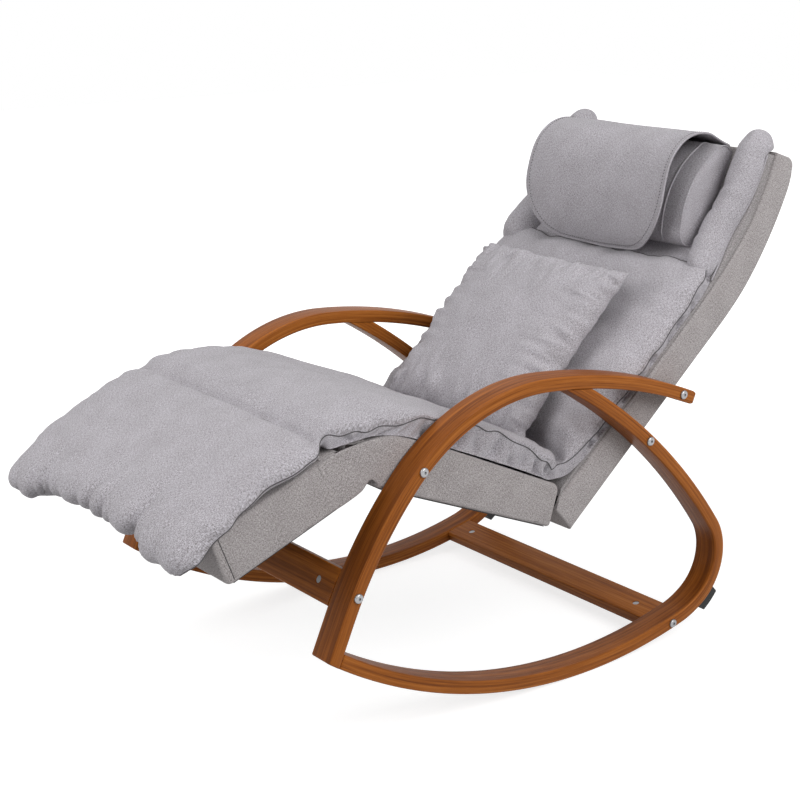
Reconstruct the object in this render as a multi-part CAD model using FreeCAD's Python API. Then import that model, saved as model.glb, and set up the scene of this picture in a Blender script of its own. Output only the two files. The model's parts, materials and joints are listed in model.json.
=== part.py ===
import FreeCAD, Part
import math
import os

V = FreeCAD.Vector

# Bentwood side frames
frame_width = 660.0
strip_width = 49.4
strip_thickness = 24.0
rocker_radius = 980.0
rocker_contact_y = 131.0
rocker_front_turn = 34.0
rocker_rear_turn = 14.0
heel_lead_radius = 169.0
heel_lead_turn = 20.4
heel_radius = 100.0
heel_turn = 92.0
brace_radius = 1192.0
brace_turn = 27.0
arm_foot_forward = 430.0
arm_foot_z = 155.5
arm_foot_heading = 66.4
arm_leg_length = 91.0
arm_leg_radius = 713.0
arm_leg_turn = 18.7
arm_shoulder_radius = 351.0
arm_shoulder_turn = 51.1
arm_rest_radius = 1065.0
arm_rest_turn = 20.0
arm_end_rounding = 9.0

# Rails between the side frames
rail_width = 62.0
rear_rail_thickness = 21.0
front_rail_distance = 130.0
rear_rail_distance = 788.0
barrel_nut_inset = 42.0
barrel_nut_radius = 6.0

# Bolts: the seat and back hang on them
high_back_bolt_distance = 974.0
high_back_bolt_reach = 307.155
high_back_bolt_level = 26.607
low_back_bolt_level = 25.1
seat_bolt_level = 24.308
bolt_radius = 4.0
bolt_head_radius = 8.0
bolt_head_height = 4.5
bolt_clearance = 0.3
bolt_reach = 14.0
nut_across_flats = 13.0
nut_thickness = 6.0
spacer_radius = 9.0

# Rubber stops behind the rockers
stop_distance = 886.0
stop_width = 30.0
stop_length = 44.0
stop_height = 26.0

# Seat and leg rest boxes, drawn from the knee hinge
hinge_to_back = 448.27
hinge_above_back = 203.54
box_side_gap = 1.6
cover_thickness = 6.0
seat_tilt = -23.0
seat_front = 28.0
seat_rear = 438.0
seat_top = 66.0
seat_drop = 23.0
leg_tilt = 21.2
leg_side_inset = 2.0
leg_knee_gap = 31.0
leg_reach = 287.0
leg_top = 58.0
leg_drop = 31.0
lining_thickness = 3.0
tube = 20.0
tube_wall = 1.2
frame_side_clearance = 5.0
seat_tube_level = 23.0
strap_width = 40.0
strap_thickness = 2.0
strap_count = 5
leg_board_thickness = 5.0
leg_foam_inset = 45.0
soft_gap = 1.0

# Knee hinge plates and pins
hinge_plate_inset = 18.0
hinge_plate_thickness = 5.0
hinge_plate_gap = 1.0
hinge_eye_radius = 20.0
hinge_pin_radius = 5.0
running_clearance = 0.05
hinge_pin_head = 8.0
hinge_pin_head_height = 3.0

# Back shell, drawn along its rear face from the lower corner
back_tilt = 40.7
back_straight = 440.0
back_bend_radius = 740.0
back_bend = 29.9
back_depth = 66.0
back_top_rounding = 20.0
back_panel_thickness = 10.0
back_panel_start = 14.0
back_opening_half = 150.0
back_opening_start = 60.0
back_opening_end = 440.0
back_tube = 26.0
back_tube_level = 26.5
back_tube_inset = 21.0
back_tube_wall = 4.5
back_middle_tube = 415.0

# Massage unit inside the back
rail_level = 20.0
rail_spread = 85.0
guide_radius = 5.0
lower_mount = 113.0
upper_mount = 355.0
mount_length = 12.0
mount_height = 23.5
screw_radius = 6.0
lift_motor_radius = 24.0
lift_motor_half_length = 52.0
lift_motor_gap = 2.0
unit_base_thickness = 3.0
carriage_middle = 240.0
carriage_half_length = 34.0
carriage_half_width = 110.0
carriage_level = 32.0
carriage_thickness = 8.0
knead_level = 52.0
knead_radius = 5.0
massage_arm_x = 60.0
massage_arm_thickness = 8.0
roller_offset = 58.0
roller_radius = 17.0
roller_width = 24.0
roller_gap = 2.0
roller_axle_radius = 3.0

# Soft pieces
cushion_overhang = 11.0
seat_cushion_inset = 14.0
leg_cushion_height = 44.0
seat_cushion_height = 54.0
back_cushion_height = 43.0
back_cushion_inset = 11.0
back_cushion_start = 100.0
back_cushion_end = 520.0
seat_cushion_rear_inset = 14.0
bolster_radius = 33.0
bolster_height = 36.0
bolster_inset = 37.0
bolster_start = 524.0
bolster_overhang = 32.0
pillow_side_gap = 17.0
pillow_middle_distance = 700.0
pillow_length = 204.0
pillow_height = 75.0
pillow_end_rounding = 10.0
head_flap_inset = 14.0
head_flap_thickness = 4.0
head_flap_corner = 45.0
head_flap_seam_level = 40.0
head_flap_rise = 76.0
head_flap_top_radius = 90.0
head_flap_top_turn = 88.2
head_flap_front_radius = 250.0
head_flap_front_turn = 27.0
head_flap_hem_turn = 30.0
lumbar_half_width = 187.0
lumbar_half_length = 183.0
lumbar_half_thickness = 58.0
lumbar_middle_s = 250.0
lumbar_middle_n = 178.6
lumbar_draw = 9.0

# Control box on the rear of the back
control_half_width = 60.0
control_start = 40.0
control_length = 90.0
control_depth = 30.0
control_wall = 2.5
jack_offset = 35.0
jack_bore_radius = 2.8
jack_bore_depth = 10.0
jack_radius = 6.0
jack_length = 14.0
switch_x = 25.0
switch_length = 18.0
switch_width = 12.0
switch_gap = 0.4
bezel_rim = 3.0

outer_x = frame_width / 2
inner_x = outer_x - strip_width
bolt_hole = bolt_radius + bolt_clearance
arm_foot_y = -arm_foot_forward
box_half_width = inner_x - box_side_gap
leg_half_width = box_half_width - leg_side_inset
frame_half_width = box_half_width - cover_thickness - frame_side_clearance
hinge_plate_x = frame_half_width - hinge_plate_inset
cushion_half_width = box_half_width + cushion_overhang
back_cushion_half_width = box_half_width - back_cushion_inset
bolster_x = box_half_width - bolster_inset
head_pillow_half_width = bolster_x - bolster_radius - pillow_side_gap
head_flap_half_width = head_pillow_half_width - head_flap_inset
seat_bottom = -seat_drop
leg_rear = -leg_knee_gap
leg_front = -leg_reach
leg_bottom = -leg_drop
jack_x = -jack_offset


def yz(u, v):
    return V(0, u, v)


def xz(u, v):
    return V(u, 0, v)


def xy(u, v):
    return V(u, v, 0)


def rounded(points, plane):
    """Closed face through corners (u, v) or (u, v, radius)."""
    ends = []
    count = len(points)
    for i, p in enumerate(points):
        here = plane(p[0], p[1])
        r = p[2] if len(p) > 2 else 0
        if r == 0:
            ends.append((here, None, here))
            continue
        before = plane(*points[i - 1][:2]).sub(here).normalize()
        after = plane(*points[(i + 1) % count][:2]).sub(here).normalize()
        half = before.getAngle(after) / 2
        middle = before.add(after).normalize()
        reach = r / math.tan(half)
        tip = here.add(middle * (r / math.sin(half) - r))
        ends.append((here.add(before * reach), tip, here.add(after * reach)))
    edges = []
    for i in range(count):
        a, tip, b = ends[i]
        if tip is not None:
            edges.append(Part.Arc(a, tip, b).toShape())
        edges.append(Part.makeLine(b, ends[(i + 1) % count][0]))
    return Part.Face(Part.Wire(edges))


def arcs(points, plane):
    """Closed wire: each entry is (u, v) or (u, v, mid_u, mid_v) for an arc to the next point."""
    edges = []
    for i, p in enumerate(points):
        a = plane(p[0], p[1])
        b = plane(*points[(i + 1) % len(points)][:2])
        if len(p) == 4:
            edges.append(Part.Arc(a, plane(p[2], p[3]), b).toShape())
        else:
            edges.append(Part.makeLine(a, b))
    return Part.Wire(edges)


def prism(face, x0, x1):
    solid = face.extrude(V(x1 - x0, 0, 0))
    solid.translate(V(x0, 0, 0))
    return solid


def block(x0, x1, y0, y1, z0, z1):
    return Part.makeBox(x1 - x0, y1 - y0, z1 - z0, V(x0, y0, z0))


def rod_x(radius, x0, x1, y, z):
    return Part.makeCylinder(radius, x1 - x0, V(x0, y, z), V(1, 0, 0))


def rod_y(radius, y0, y1, x, z):
    return Part.makeCylinder(radius, y1 - y0, V(x, y0, z), V(0, 1, 0))


def placed(shape, y, z, tilt):
    shape = shape.copy()
    shape.rotate(V(0, 0, 0), V(1, 0, 0), tilt)
    shape.translate(V(0, y, z))
    return shape


def mirrored(shape):
    return shape.mirror(V(0, 0, 0), V(1, 0, 0))


def both(shape):
    return Part.makeCompound([shape, mirrored(shape)])


def largest(shape):
    return max(shape.Solids, key=lambda s: s.Volume)


def turn_edge(y, z, heading, size, turn, side):
    """One stretch of a path, moved sideways by side; returns its edge and where the path goes on."""
    h = math.radians(heading)
    across = V(0, -math.sin(h), math.cos(h))
    a = V(0, y, z).add(across * side)
    if turn == 0:
        end = V(0, y + size * math.cos(h), z + size * math.sin(h))
        return Part.makeLine(a, end.add(across * side)), end.y, end.z, heading
    s = 1 if turn > 0 else -1
    centre = V(0, y, z).add(across * (s * size))
    marks = []
    for part in (0.5, 1.0):
        g = math.radians(heading + turn * part)
        marks.append(V(0, -math.sin(g), math.cos(g)))
    mid = centre.sub(marks[0] * (s * size - side))
    b = centre.sub(marks[1] * (s * size - side))
    end = centre.sub(marks[1] * (s * size))
    return Part.Arc(a, mid, b).toShape(), end.y, end.z, heading + turn


def walk(path, distance):
    """Point and heading at a distance along a path."""
    y, z, heading, pieces = path
    for size, turn in pieces:
        length = size if turn == 0 else size * math.radians(abs(turn))
        if distance <= length:
            part = distance if turn == 0 else turn * distance / length
            if turn == 0:
                return turn_edge(y, z, heading, part, 0, 0)[1:]
            return turn_edge(y, z, heading, size, part, 0)[1:]
        y, z, heading = turn_edge(y, z, heading, size, turn, 0)[1:]
        distance -= length
    return y, z, heading


def crossing(path, start, y, z, tilt, level):
    """Where a path, past a start distance, rises to a level over a tilted line through (y, z)."""
    a = math.radians(tilt)
    low = start
    high = length_of(path)
    for i in range(60):
        middle = (low + high) / 2
        at = walk(path, middle)
        if (at[1] - z) * math.cos(a) - (at[0] - y) * math.sin(a) < level:
            low = middle
        else:
            high = middle
    return walk(path, low)


def cut_path(path, start, end):
    """The stretch of a path between two distances."""
    y, z, heading = walk(path, start)
    pieces = []
    done = 0
    for size, turn in path[3]:
        length = size if turn == 0 else size * math.radians(abs(turn))
        a = max(start, done)
        b = min(end, done + length)
        if b > a + 0.001:
            pieces.append((b - a, 0) if turn == 0 else (size, turn * (b - a) / length))
        done += length
    return y, z, heading, pieces


def edges_along(path, side):
    y, z, heading, pieces = path
    edges = []
    for size, turn in pieces:
        edge, y, z, heading = turn_edge(y, z, heading, size, turn, side)
        edges.append(edge)
    return edges


def band_wire(path, low, high):
    first = edges_along(path, low)
    second = edges_along(path, high)
    start = Part.makeLine(second[0].Vertexes[0].Point, first[0].Vertexes[0].Point)
    end = Part.makeLine(first[-1].Vertexes[-1].Point, second[-1].Vertexes[-1].Point)
    return Part.Wire(Part.__sortEdges__(first + [end] + second + [start]))


def band(path, low, high, x0, x1):
    return prism(Part.Face(band_wire(path, low, high)), x0, x1)


def length_of(path):
    return sum(e.Length for e in edges_along(path, 0))


def on_path(shape, path, distance):
    """Moves a shape drawn at the path's start to a distance along it."""
    return placed(shape, *walk(path, distance))


def cross_edges(solid, y, z, reach):
    picked = []
    for e in solid.Edges:
        c = e.BoundBox
        if c.YLength < 0.001 and c.ZLength < 0.001 and math.hypot(c.YMin - y, c.ZMin - z) < reach:
            picked.append(e)
    return picked


def save(name, shape):
    shape.exportStep("parts/" + name + ".step")


os.makedirs("parts", exist_ok=True)

# Side frames
half_strip = strip_thickness / 2
rocker_middle = rocker_radius - half_strip
lean = math.radians(rocker_front_turn)
rocker_path = (
    rocker_contact_y - rocker_middle * math.sin(lean),
    rocker_radius - rocker_middle * math.cos(lean),
    -rocker_front_turn,
    [
        (rocker_middle, rocker_front_turn + rocker_rear_turn),
        (heel_lead_radius, heel_lead_turn),
        (heel_radius, heel_turn),
        (brace_radius, brace_turn),
    ],
)
arm_path = (
    arm_foot_y,
    arm_foot_z,
    arm_foot_heading,
    [
        (arm_leg_length, 0),
        (arm_leg_radius, -arm_leg_turn),
        (arm_shoulder_radius, -arm_shoulder_turn),
        (arm_rest_radius, -arm_rest_turn),
    ],
)
rocker_disc = rod_x(rocker_radius, 0, frame_width, rocker_contact_y, rocker_radius)
plain_arm = band(arm_path, -half_strip, half_strip, inner_x, outer_x)
tip = walk(arm_path, length_of(arm_path))
arm = plain_arm.makeFillet(arm_end_rounding, cross_edges(plain_arm, tip[0], tip[1], strip_thickness))
arm = arm.common(rocker_disc)
rocker = band(rocker_path, -half_strip, half_strip, inner_x, outer_x)
rocker = largest(rocker.cut(plain_arm))

front_rail_at = walk(arm_path, front_rail_distance)
rear_rail_at = walk(rocker_path, rear_rail_distance)
high_bolt_at = walk(arm_path, high_back_bolt_distance)
lean = math.radians(back_tilt)
back_run = high_back_bolt_reach * math.cos(lean) - high_back_bolt_level * math.sin(lean)
back_rise = high_back_bolt_reach * math.sin(lean) + high_back_bolt_level * math.cos(lean)
back_y = high_bolt_at[0] - back_run
back_z = high_bolt_at[1] - back_rise
hinge_y = back_y - hinge_to_back
hinge_z = back_z + hinge_above_back
brace_start = length_of(rocker_path) - brace_radius * math.radians(brace_turn)
low_bolt_at = crossing(rocker_path, brace_start, back_y, back_z, back_tilt, low_back_bolt_level)
seat_bolt_at = crossing(arm_path, 0, hinge_y, hinge_z, seat_tilt, seat_bolt_level)
for at in (front_rail_at, seat_bolt_at, high_bolt_at):
    arm = arm.cut(rod_x(bolt_hole, 0, frame_width, at[0], at[1]))
for at in (rear_rail_at, low_bolt_at):
    rocker = rocker.cut(rod_x(bolt_hole, 0, frame_width, at[0], at[1]))
save("left_arm_strip", arm)
save("right_arm_strip", mirrored(arm))
save("left_rocker_strip", rocker)
save("right_rocker_strip", mirrored(rocker))


# Cross rails with barrel nuts near their ends
def rail(at, thickness):
    half = thickness / 2
    plank = block(-inner_x, inner_x, -rail_width / 2, rail_width / 2, -half, half)
    nut_x = inner_x - barrel_nut_inset
    nut = Part.makeCylinder(barrel_nut_radius, thickness - 2, V(nut_x, 0, -half + 1))
    bore = Part.makeCylinder(barrel_nut_radius + bolt_clearance, thickness, V(nut_x, 0, -half))
    way = rod_x(bolt_hole, nut_x - 2 * barrel_nut_radius, inner_x, 0, 0)
    nut = nut.cut(way)
    plank = plank.cut(both(bore)).cut(both(way))
    return placed(plank, *at), placed(nut, *at)


front_rail, front_nut = rail(front_rail_at, strip_thickness)
rear_rail, rear_nut = rail(rear_rail_at, rear_rail_thickness)
save("front_rail", front_rail)
save("rear_rail", rear_rail)
barrel_nuts = [front_nut, rear_nut, mirrored(front_nut), mirrored(rear_nut)]
save("barrel_nuts", Part.makeCompound(barrel_nuts))


# Bolts through the strips
def bolt(at, inner_end):
    shank = rod_x(bolt_radius, inner_end, outer_x, at[0], at[1])
    head = rod_x(bolt_head_radius, outer_x, outer_x + bolt_head_height, at[0], at[1])
    rim = [e for e in head.Edges if abs(e.CenterOfMass.x - outer_x - bolt_head_height) < 0.01]
    head = head.makeFillet(bolt_head_height * 0.6, rim)
    socket_start = outer_x + bolt_head_height * 0.4
    head = head.cut(rod_x(bolt_radius * 0.6, socket_start, outer_x + 2 * bolt_head_height, at[0], at[1]))
    return shank.fuse(head)


rail_bolt_end = inner_x - barrel_nut_inset - barrel_nut_radius
frame_bolt_end = frame_half_width - bolt_reach
rail_bolts = [bolt(at, rail_bolt_end) for at in (front_rail_at, rear_rail_at)]
frame_marks = (seat_bolt_at, high_bolt_at, low_bolt_at)
frame_bolts = [bolt(at, frame_bolt_end) for at in frame_marks]
bolts = rail_bolts + frame_bolts
save("frame_bolts", Part.makeCompound(bolts + [mirrored(b) for b in bolts]))


def spacer(at):
    ring = rod_x(spacer_radius, frame_half_width, inner_x, at[0], at[1])
    return ring.cut(rod_x(bolt_hole, 0, outer_x, at[0], at[1]))


def nut(at, tilt, wall):
    start = frame_half_width - wall - nut_thickness
    across = nut_across_flats / 2
    ring = []
    for i in range(6):
        a = math.radians(60 * i)
        corner = across / math.cos(math.pi / 6)
        ring.append((corner * math.cos(a), corner * math.sin(a)))
    body = prism(rounded(ring, yz), start, start + nut_thickness)
    body = body.cut(rod_x(bolt_hole, 0, outer_x, 0, 0))
    return placed(body, at[0], at[1], tilt)


spacers = [spacer(at) for at in frame_marks]
save("bolt_spacers", Part.makeCompound(spacers + [mirrored(s) for s in spacers]))
nuts = [
    nut(seat_bolt_at, seat_tilt, tube_wall),
    nut(high_bolt_at, back_tilt, back_tube_wall),
    nut(low_bolt_at, back_tilt, back_tube_wall),
]
save("frame_nuts", Part.makeCompound(nuts + [mirrored(n) for n in nuts]))

# Rubber stops under the rear bends
stop_middle = (inner_x + outer_x) / 2
stop = block(
    stop_middle - stop_width / 2,
    stop_middle + stop_width / 2,
    -stop_length / 2,
    stop_length / 2,
    -half_strip - stop_height,
    0,
)
stop = on_path(stop, rocker_path, stop_distance)
heel_side = band(rocker_path, -half_strip - stop_height, -half_strip, inner_x, outer_x)
stop = largest(stop.common(heel_side))
save("rocker_stops", both(stop))


def at_hinge(shape, tilt):
    return placed(shape, hinge_y, hinge_z, tilt)


def frame_holes(shape, radius):
    for at in frame_marks:
        shape = shape.cut(rod_x(radius, -frame_width, frame_width, at[0], at[1]))
    return shape


def tube_ring(half, s0, s1, level):
    """Welded rectangle of square tube, hollow."""
    low = level - tube / 2
    high = level + tube / 2
    ring = block(-half, half, s0, s1, low, high)
    ring = ring.cut(block(-half + tube, half - tube, s0 + tube, s1 - tube, low, high))
    w = tube_wall
    hollow = block(-half + w, half - w, s0 + w, s1 - w, low + w, high - w)
    t = tube - w
    hollow = hollow.cut(block(-half + t, half - t, s0 + t, s1 - t, low, high))
    return ring.cut(hollow)


# Seat box
seat_profile = [
    (seat_front, seat_bottom, 10),
    (seat_rear, seat_bottom + 6, 6),
    (seat_rear - 8, seat_top - 8, 16),
    (seat_front + 122, seat_top + 1, 200),
    (seat_front, seat_top, 60),
    (seat_front - 78, seat_top - 40, 6),
    (seat_front, seat_top - 36, 6),
]
seat_hollow = [
    (seat_front + cover_thickness, seat_bottom - 20),
    (seat_rear - cover_thickness - 2, seat_bottom - 20),
    (seat_rear - 8 - cover_thickness - 2, seat_top - 9 - cover_thickness, 10),
    (seat_front + 122, seat_top - 1 - cover_thickness),
    (seat_front + 30, seat_top - 2 - cover_thickness, 10),
    (seat_front + cover_thickness, seat_top - 40),
]
slot_low = hinge_plate_x - 2 * hinge_plate_gap
slot_high = hinge_plate_x + hinge_plate_thickness + 2 * hinge_plate_gap
seat_shell = prism(rounded(seat_profile, yz), -box_half_width, box_half_width)
hollow_half = box_half_width - cover_thickness
seat_shell = seat_shell.cut(prism(rounded(seat_hollow, yz), -hollow_half, hollow_half))
seat_slot = block(
    slot_low,
    slot_high,
    seat_front - 8,
    seat_front + 12,
    -hinge_eye_radius + 4,
    seat_tube_level + tube / 2 + 2,
)
seat_shell = at_hinge(seat_shell.cut(both(seat_slot)), seat_tilt)
seat_shell = seat_shell.cut(rod_x(spacer_radius + 0.5, -frame_width, frame_width, *seat_bolt_at[:2]))
save("seat_shell", seat_shell)

seat_slope = math.degrees(math.atan2(6, seat_rear - seat_front))
lining = block(
    -box_half_width + 3, box_half_width - 3, 14, seat_rear - seat_front - 12, -lining_thickness, 0
)
lining = placed(lining, seat_front, seat_bottom, seat_slope)
save("seat_lining", at_hinge(lining, seat_tilt))

seat_ring_front = seat_front + 17
seat_ring_rear = seat_rear - 20
seat_ring = tube_ring(frame_half_width, seat_ring_front, seat_ring_rear, seat_tube_level)
seat_frame = frame_holes(at_hinge(seat_ring, seat_tilt), bolt_hole)
save("seat_frame", seat_frame)

strap_base = seat_tube_level + tube / 2
strap_room = seat_ring_rear - seat_ring_front - 2 * tube - strap_width
straps = []
for i in range(strap_count):
    s = seat_ring_front + tube + strap_room * i / (strap_count - 1)
    strap = block(-frame_half_width, frame_half_width, s, s + strap_width, 0, strap_thickness)
    strap.translate(V(0, 0, strap_base))
    straps.append(strap)
save("seat_straps", at_hinge(Part.makeCompound(straps), seat_tilt))

foam_base = strap_base + strap_thickness
foam_top = seat_top - 11 - cover_thickness
foam_front = seat_ring_front + 10
seat_foam = block(
    -frame_half_width, frame_half_width, foam_front, seat_ring_rear - 4, foam_base, foam_top
)
save("seat_foam", at_hinge(seat_foam, seat_tilt))

# Leg rest box
leg_profile = [
    (leg_front, leg_bottom, 14),
    (leg_rear, leg_bottom, 22),
    (leg_rear, leg_top, 14),
    (leg_front + 4, leg_top, 18),
]
leg_hollow = [
    (leg_front + cover_thickness, leg_bottom - 20),
    (leg_rear - cover_thickness, leg_bottom - 20),
    (leg_rear - cover_thickness, leg_top - cover_thickness, 8),
    (leg_front + 4 + cover_thickness, leg_top - cover_thickness, 12),
]
leg_shell = prism(rounded(leg_profile, yz), -leg_half_width, leg_half_width)
leg_inside = leg_half_width - cover_thickness
leg_shell = leg_shell.cut(prism(rounded(leg_hollow, yz), -leg_inside, leg_inside))
arm_plate_x = hinge_plate_x + hinge_plate_thickness + hinge_plate_gap
leg_slot = block(
    arm_plate_x - 2 * hinge_plate_gap,
    arm_plate_x + hinge_plate_thickness + 2 * hinge_plate_gap,
    leg_rear - 12,
    leg_rear + 4,
    -hinge_eye_radius,
    hinge_eye_radius,
)
save("legrest_shell", at_hinge(leg_shell.cut(both(leg_slot)), leg_tilt))
leg_lining = block(
    -leg_half_width + 4,
    leg_half_width - 4,
    leg_front + 15,
    leg_rear - 24,
    leg_bottom - lining_thickness,
    leg_bottom,
)
save("legrest_lining", at_hinge(leg_lining, leg_tilt))
leg_ring_front = leg_front + 14
leg_ring_rear = leg_rear - 14
leg_frame = tube_ring(frame_half_width, leg_ring_front, leg_ring_rear, 0)
save("legrest_frame", at_hinge(leg_frame, leg_tilt))
board_base = tube / 2
leg_board = block(
    -frame_half_width,
    frame_half_width,
    leg_ring_front,
    leg_ring_rear,
    board_base,
    board_base + leg_board_thickness,
)
save("legrest_board", at_hinge(leg_board, leg_tilt))
leg_foam = block(
    -frame_half_width + leg_foam_inset,
    frame_half_width - leg_foam_inset,
    leg_ring_front + leg_foam_inset / 2,
    leg_ring_rear - leg_foam_inset / 2,
    board_base + leg_board_thickness,
    leg_top - cover_thickness - soft_gap / 2,
)
save("legrest_foam", at_hinge(leg_foam, leg_tilt))


# Knee hinge
def hinge_plate(reach, level, x0):
    wide = tube / 2
    eye = rod_x(hinge_eye_radius, x0, x0 + hinge_plate_thickness, 0, 0)
    root = hinge_eye_radius - 4
    neck = [(0, -root), (reach, level - wide), (reach, level + wide), (0, root)]
    plate = eye.fuse(prism(rounded(neck, yz), x0, x0 + hinge_plate_thickness))
    bore = hinge_pin_radius + running_clearance
    return plate.removeSplitter().cut(rod_x(bore, 0, frame_width, 0, 0))


seat_plate = at_hinge(hinge_plate(seat_ring_front, seat_tube_level, hinge_plate_x), seat_tilt)
leg_plate = at_hinge(hinge_plate(leg_ring_rear, 0, arm_plate_x), leg_tilt)
save("hinge_bases", both(seat_plate))
save("hinge_arms", both(leg_plate))
pin_start = hinge_plate_x - hinge_plate_gap / 2
pin_end = arm_plate_x + hinge_plate_thickness + hinge_plate_gap / 2
pin = rod_x(hinge_pin_radius, pin_start, pin_end, hinge_y, hinge_z)
for x in (pin_start - hinge_pin_head_height, pin_end):
    pin = pin.fuse(rod_x(hinge_pin_head, x, x + hinge_pin_head_height, hinge_y, hinge_z))
save("hinge_pins", both(pin))

# Back shell, front panel and steel frame
back_path = (
    back_y,
    back_z,
    back_tilt,
    [(back_straight, 0), (back_bend_radius, back_bend)],
)
back_length = length_of(back_path)
shell = band(back_path, 0, back_depth, -box_half_width, box_half_width)
top = walk(back_path, back_length)
shell = shell.makeFillet(back_top_rounding, cross_edges(shell, top[0], top[1], 2))
inside = cut_path(back_path, cover_thickness, back_length - cover_thickness)
hollow = band(inside, cover_thickness, back_depth + 20, -hollow_half, hollow_half)
inner_top = walk(back_path, back_length - cover_thickness)
lean = math.radians(inner_top[2])
inner_corner_y = inner_top[0] - cover_thickness * math.sin(lean)
inner_corner_z = inner_top[1] + cover_thickness * math.cos(lean)
corner_edges = cross_edges(hollow, inner_corner_y, inner_corner_z, 2)
hollow = hollow.makeFillet(back_top_rounding - cover_thickness, corner_edges)
shell = shell.cut(hollow)
seat_room = block(
    -frame_width, frame_width, seat_front + 100, seat_rear + 2 * soft_gap, 5 * seat_bottom, seat_top + 20
)
seat_room = at_hinge(seat_room, seat_tilt)
shell = shell.cut(seat_room)
for at in (high_bolt_at, low_bolt_at):
    shell = shell.cut(rod_x(spacer_radius + 0.5, -frame_width, frame_width, *at[:2]))


def in_back(shape):
    return placed(shape, back_y, back_z, back_tilt)


save("back_shell", shell)

panel_path = cut_path(back_path, back_panel_start, back_length - 8)
panel_half = box_half_width - 3
panel = band(panel_path, back_depth, back_depth + back_panel_thickness, -panel_half, panel_half)
window = block(
    -back_opening_half,
    back_opening_half,
    back_opening_start,
    back_opening_end,
    back_depth - 30,
    back_depth + 60,
)
panel = panel.cut(in_back(window)).cut(seat_room)
save("back_panel", panel)

tube_path = cut_path(back_path, back_tube_inset, back_length - 2 * back_tube_inset)
half_tube = back_tube / 2
low_n = back_tube_level - half_tube
high_n = back_tube_level + half_tube
side_start = frame_half_width - tube
side = band(tube_path, low_n, high_n, side_start, frame_half_width)
wall = back_tube_wall
side_inside = band(tube_path, low_n + wall, high_n - wall, side_start + wall, frame_half_width - wall)
side = frame_holes(side.cut(side_inside), bolt_hole)


def cross_tube(distance):
    outer = block(-side_start, side_start, -half_tube, half_tube, low_n, high_n)
    inner = block(-side_start, side_start, -half_tube + wall, half_tube - wall, low_n + wall, high_n - wall)
    return on_path(outer.cut(inner), back_path, distance)


top_tube = back_length - 2 * back_tube_inset - half_tube
back_frame = side.fuse(mirrored(side))
for distance in (back_tube_inset + half_tube, back_middle_tube, top_tube):
    back_frame = back_frame.fuse(cross_tube(distance))
save("back_frame", back_frame)


# Massage unit: base plate, rails, lift screw and motor
base_top = cover_thickness + unit_base_thickness
unit_base = block(
    -carriage_half_width - 5,
    carriage_half_width + 5,
    lower_mount - 8,
    upper_mount + mount_length + 4,
    cover_thickness,
    base_top,
)
save("unit_base", in_back(unit_base))


def mount(start):
    mount_top = cover_thickness + mount_height
    mount_end = start + mount_length
    body = block(-carriage_half_width, carriage_half_width, start, mount_end, base_top, mount_top)
    for x in (-rail_spread, rail_spread):
        body = body.cut(rod_y(guide_radius + 0.3, start - 1, start + mount_length + 1, x, rail_level))
    bore = screw_radius + running_clearance
    return in_back(body.cut(rod_y(bore, start - 1, start + mount_length + 1, 0, rail_level)))


save("lower_mount", mount(lower_mount))
save("upper_mount", mount(upper_mount))
rail_end = upper_mount + mount_length + 3
guides = [rod_y(guide_radius, lower_mount - 3, rail_end, x, rail_level) for x in (-rail_spread, rail_spread)]
save("guide_rails", in_back(Part.makeCompound(guides)))
screw_start = lower_mount - 12
save("lift_screw", in_back(rod_y(screw_radius, screw_start, rail_end, 0, rail_level)))
motor_s = lower_mount - 15 - lift_motor_radius
motor_n = base_top + lift_motor_gap + lift_motor_radius
motor = rod_x(lift_motor_radius, -lift_motor_half_length, lift_motor_half_length, motor_s, motor_n)
motor = motor.fuse(block(-20, 20, lower_mount - 8, lower_mount, base_top, motor_n))
motor = motor.fuse(block(-20, 20, motor_s, lower_mount - 8, base_top + lift_motor_gap, motor_n))
motor = motor.cut(rod_y(screw_radius + running_clearance, screw_start - 2, lower_mount, 0, rail_level))
save("lift_motor", in_back(motor))

# Massage carriage with kneading drive
c = carriage_middle
plate_top = carriage_level + carriage_thickness
carriage = block(
    -carriage_half_width,
    carriage_half_width,
    c - carriage_half_length,
    c + carriage_half_length,
    carriage_level,
    plate_top,
)
bush = guide_radius + 3
for x in (-rail_spread, rail_spread):
    for s in (c - carriage_half_length + 4, c + 6):
        foot = block(x - 12, x + 12, s, s + 24, rail_level - bush, carriage_level)
        carriage = carriage.fuse(foot)
    carriage = carriage.cut(rod_y(guide_radius + running_clearance, c - 60, c + 60, x, rail_level))
ear_start = carriage_half_width - 14
for x in (-carriage_half_width, ear_start):
    carriage = carriage.fuse(block(x, x + 14, c - 14, c + 14, plate_top, knead_level + 11))
carriage = carriage.cut(rod_x(knead_radius + running_clearance, -frame_width, frame_width, c, knead_level))
save("massage_carriage", in_back(carriage))
lift_nut = block(-14, 14, c - 15, c + 15, rail_level - 10, carriage_level)
lift_nut = lift_nut.cut(rod_y(screw_radius + running_clearance, c - 40, c + 40, 0, rail_level))
save("lift_nut", in_back(lift_nut))
gearbox = block(20, 50, c - carriage_half_length + 1, c + 16, plate_top, knead_level + 14)
gearbox = gearbox.cut(rod_x(knead_radius + running_clearance, 0, 60, c, knead_level))
save("kneading_gearbox", in_back(gearbox))
save("kneading_motor", in_back(rod_x(12, -44, 20, c - 20, knead_level + 2)))
knead_shaft = rod_x(knead_radius, -carriage_half_width - 4, carriage_half_width + 4, c, knead_level)
save("kneading_shaft", in_back(knead_shaft))


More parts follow.
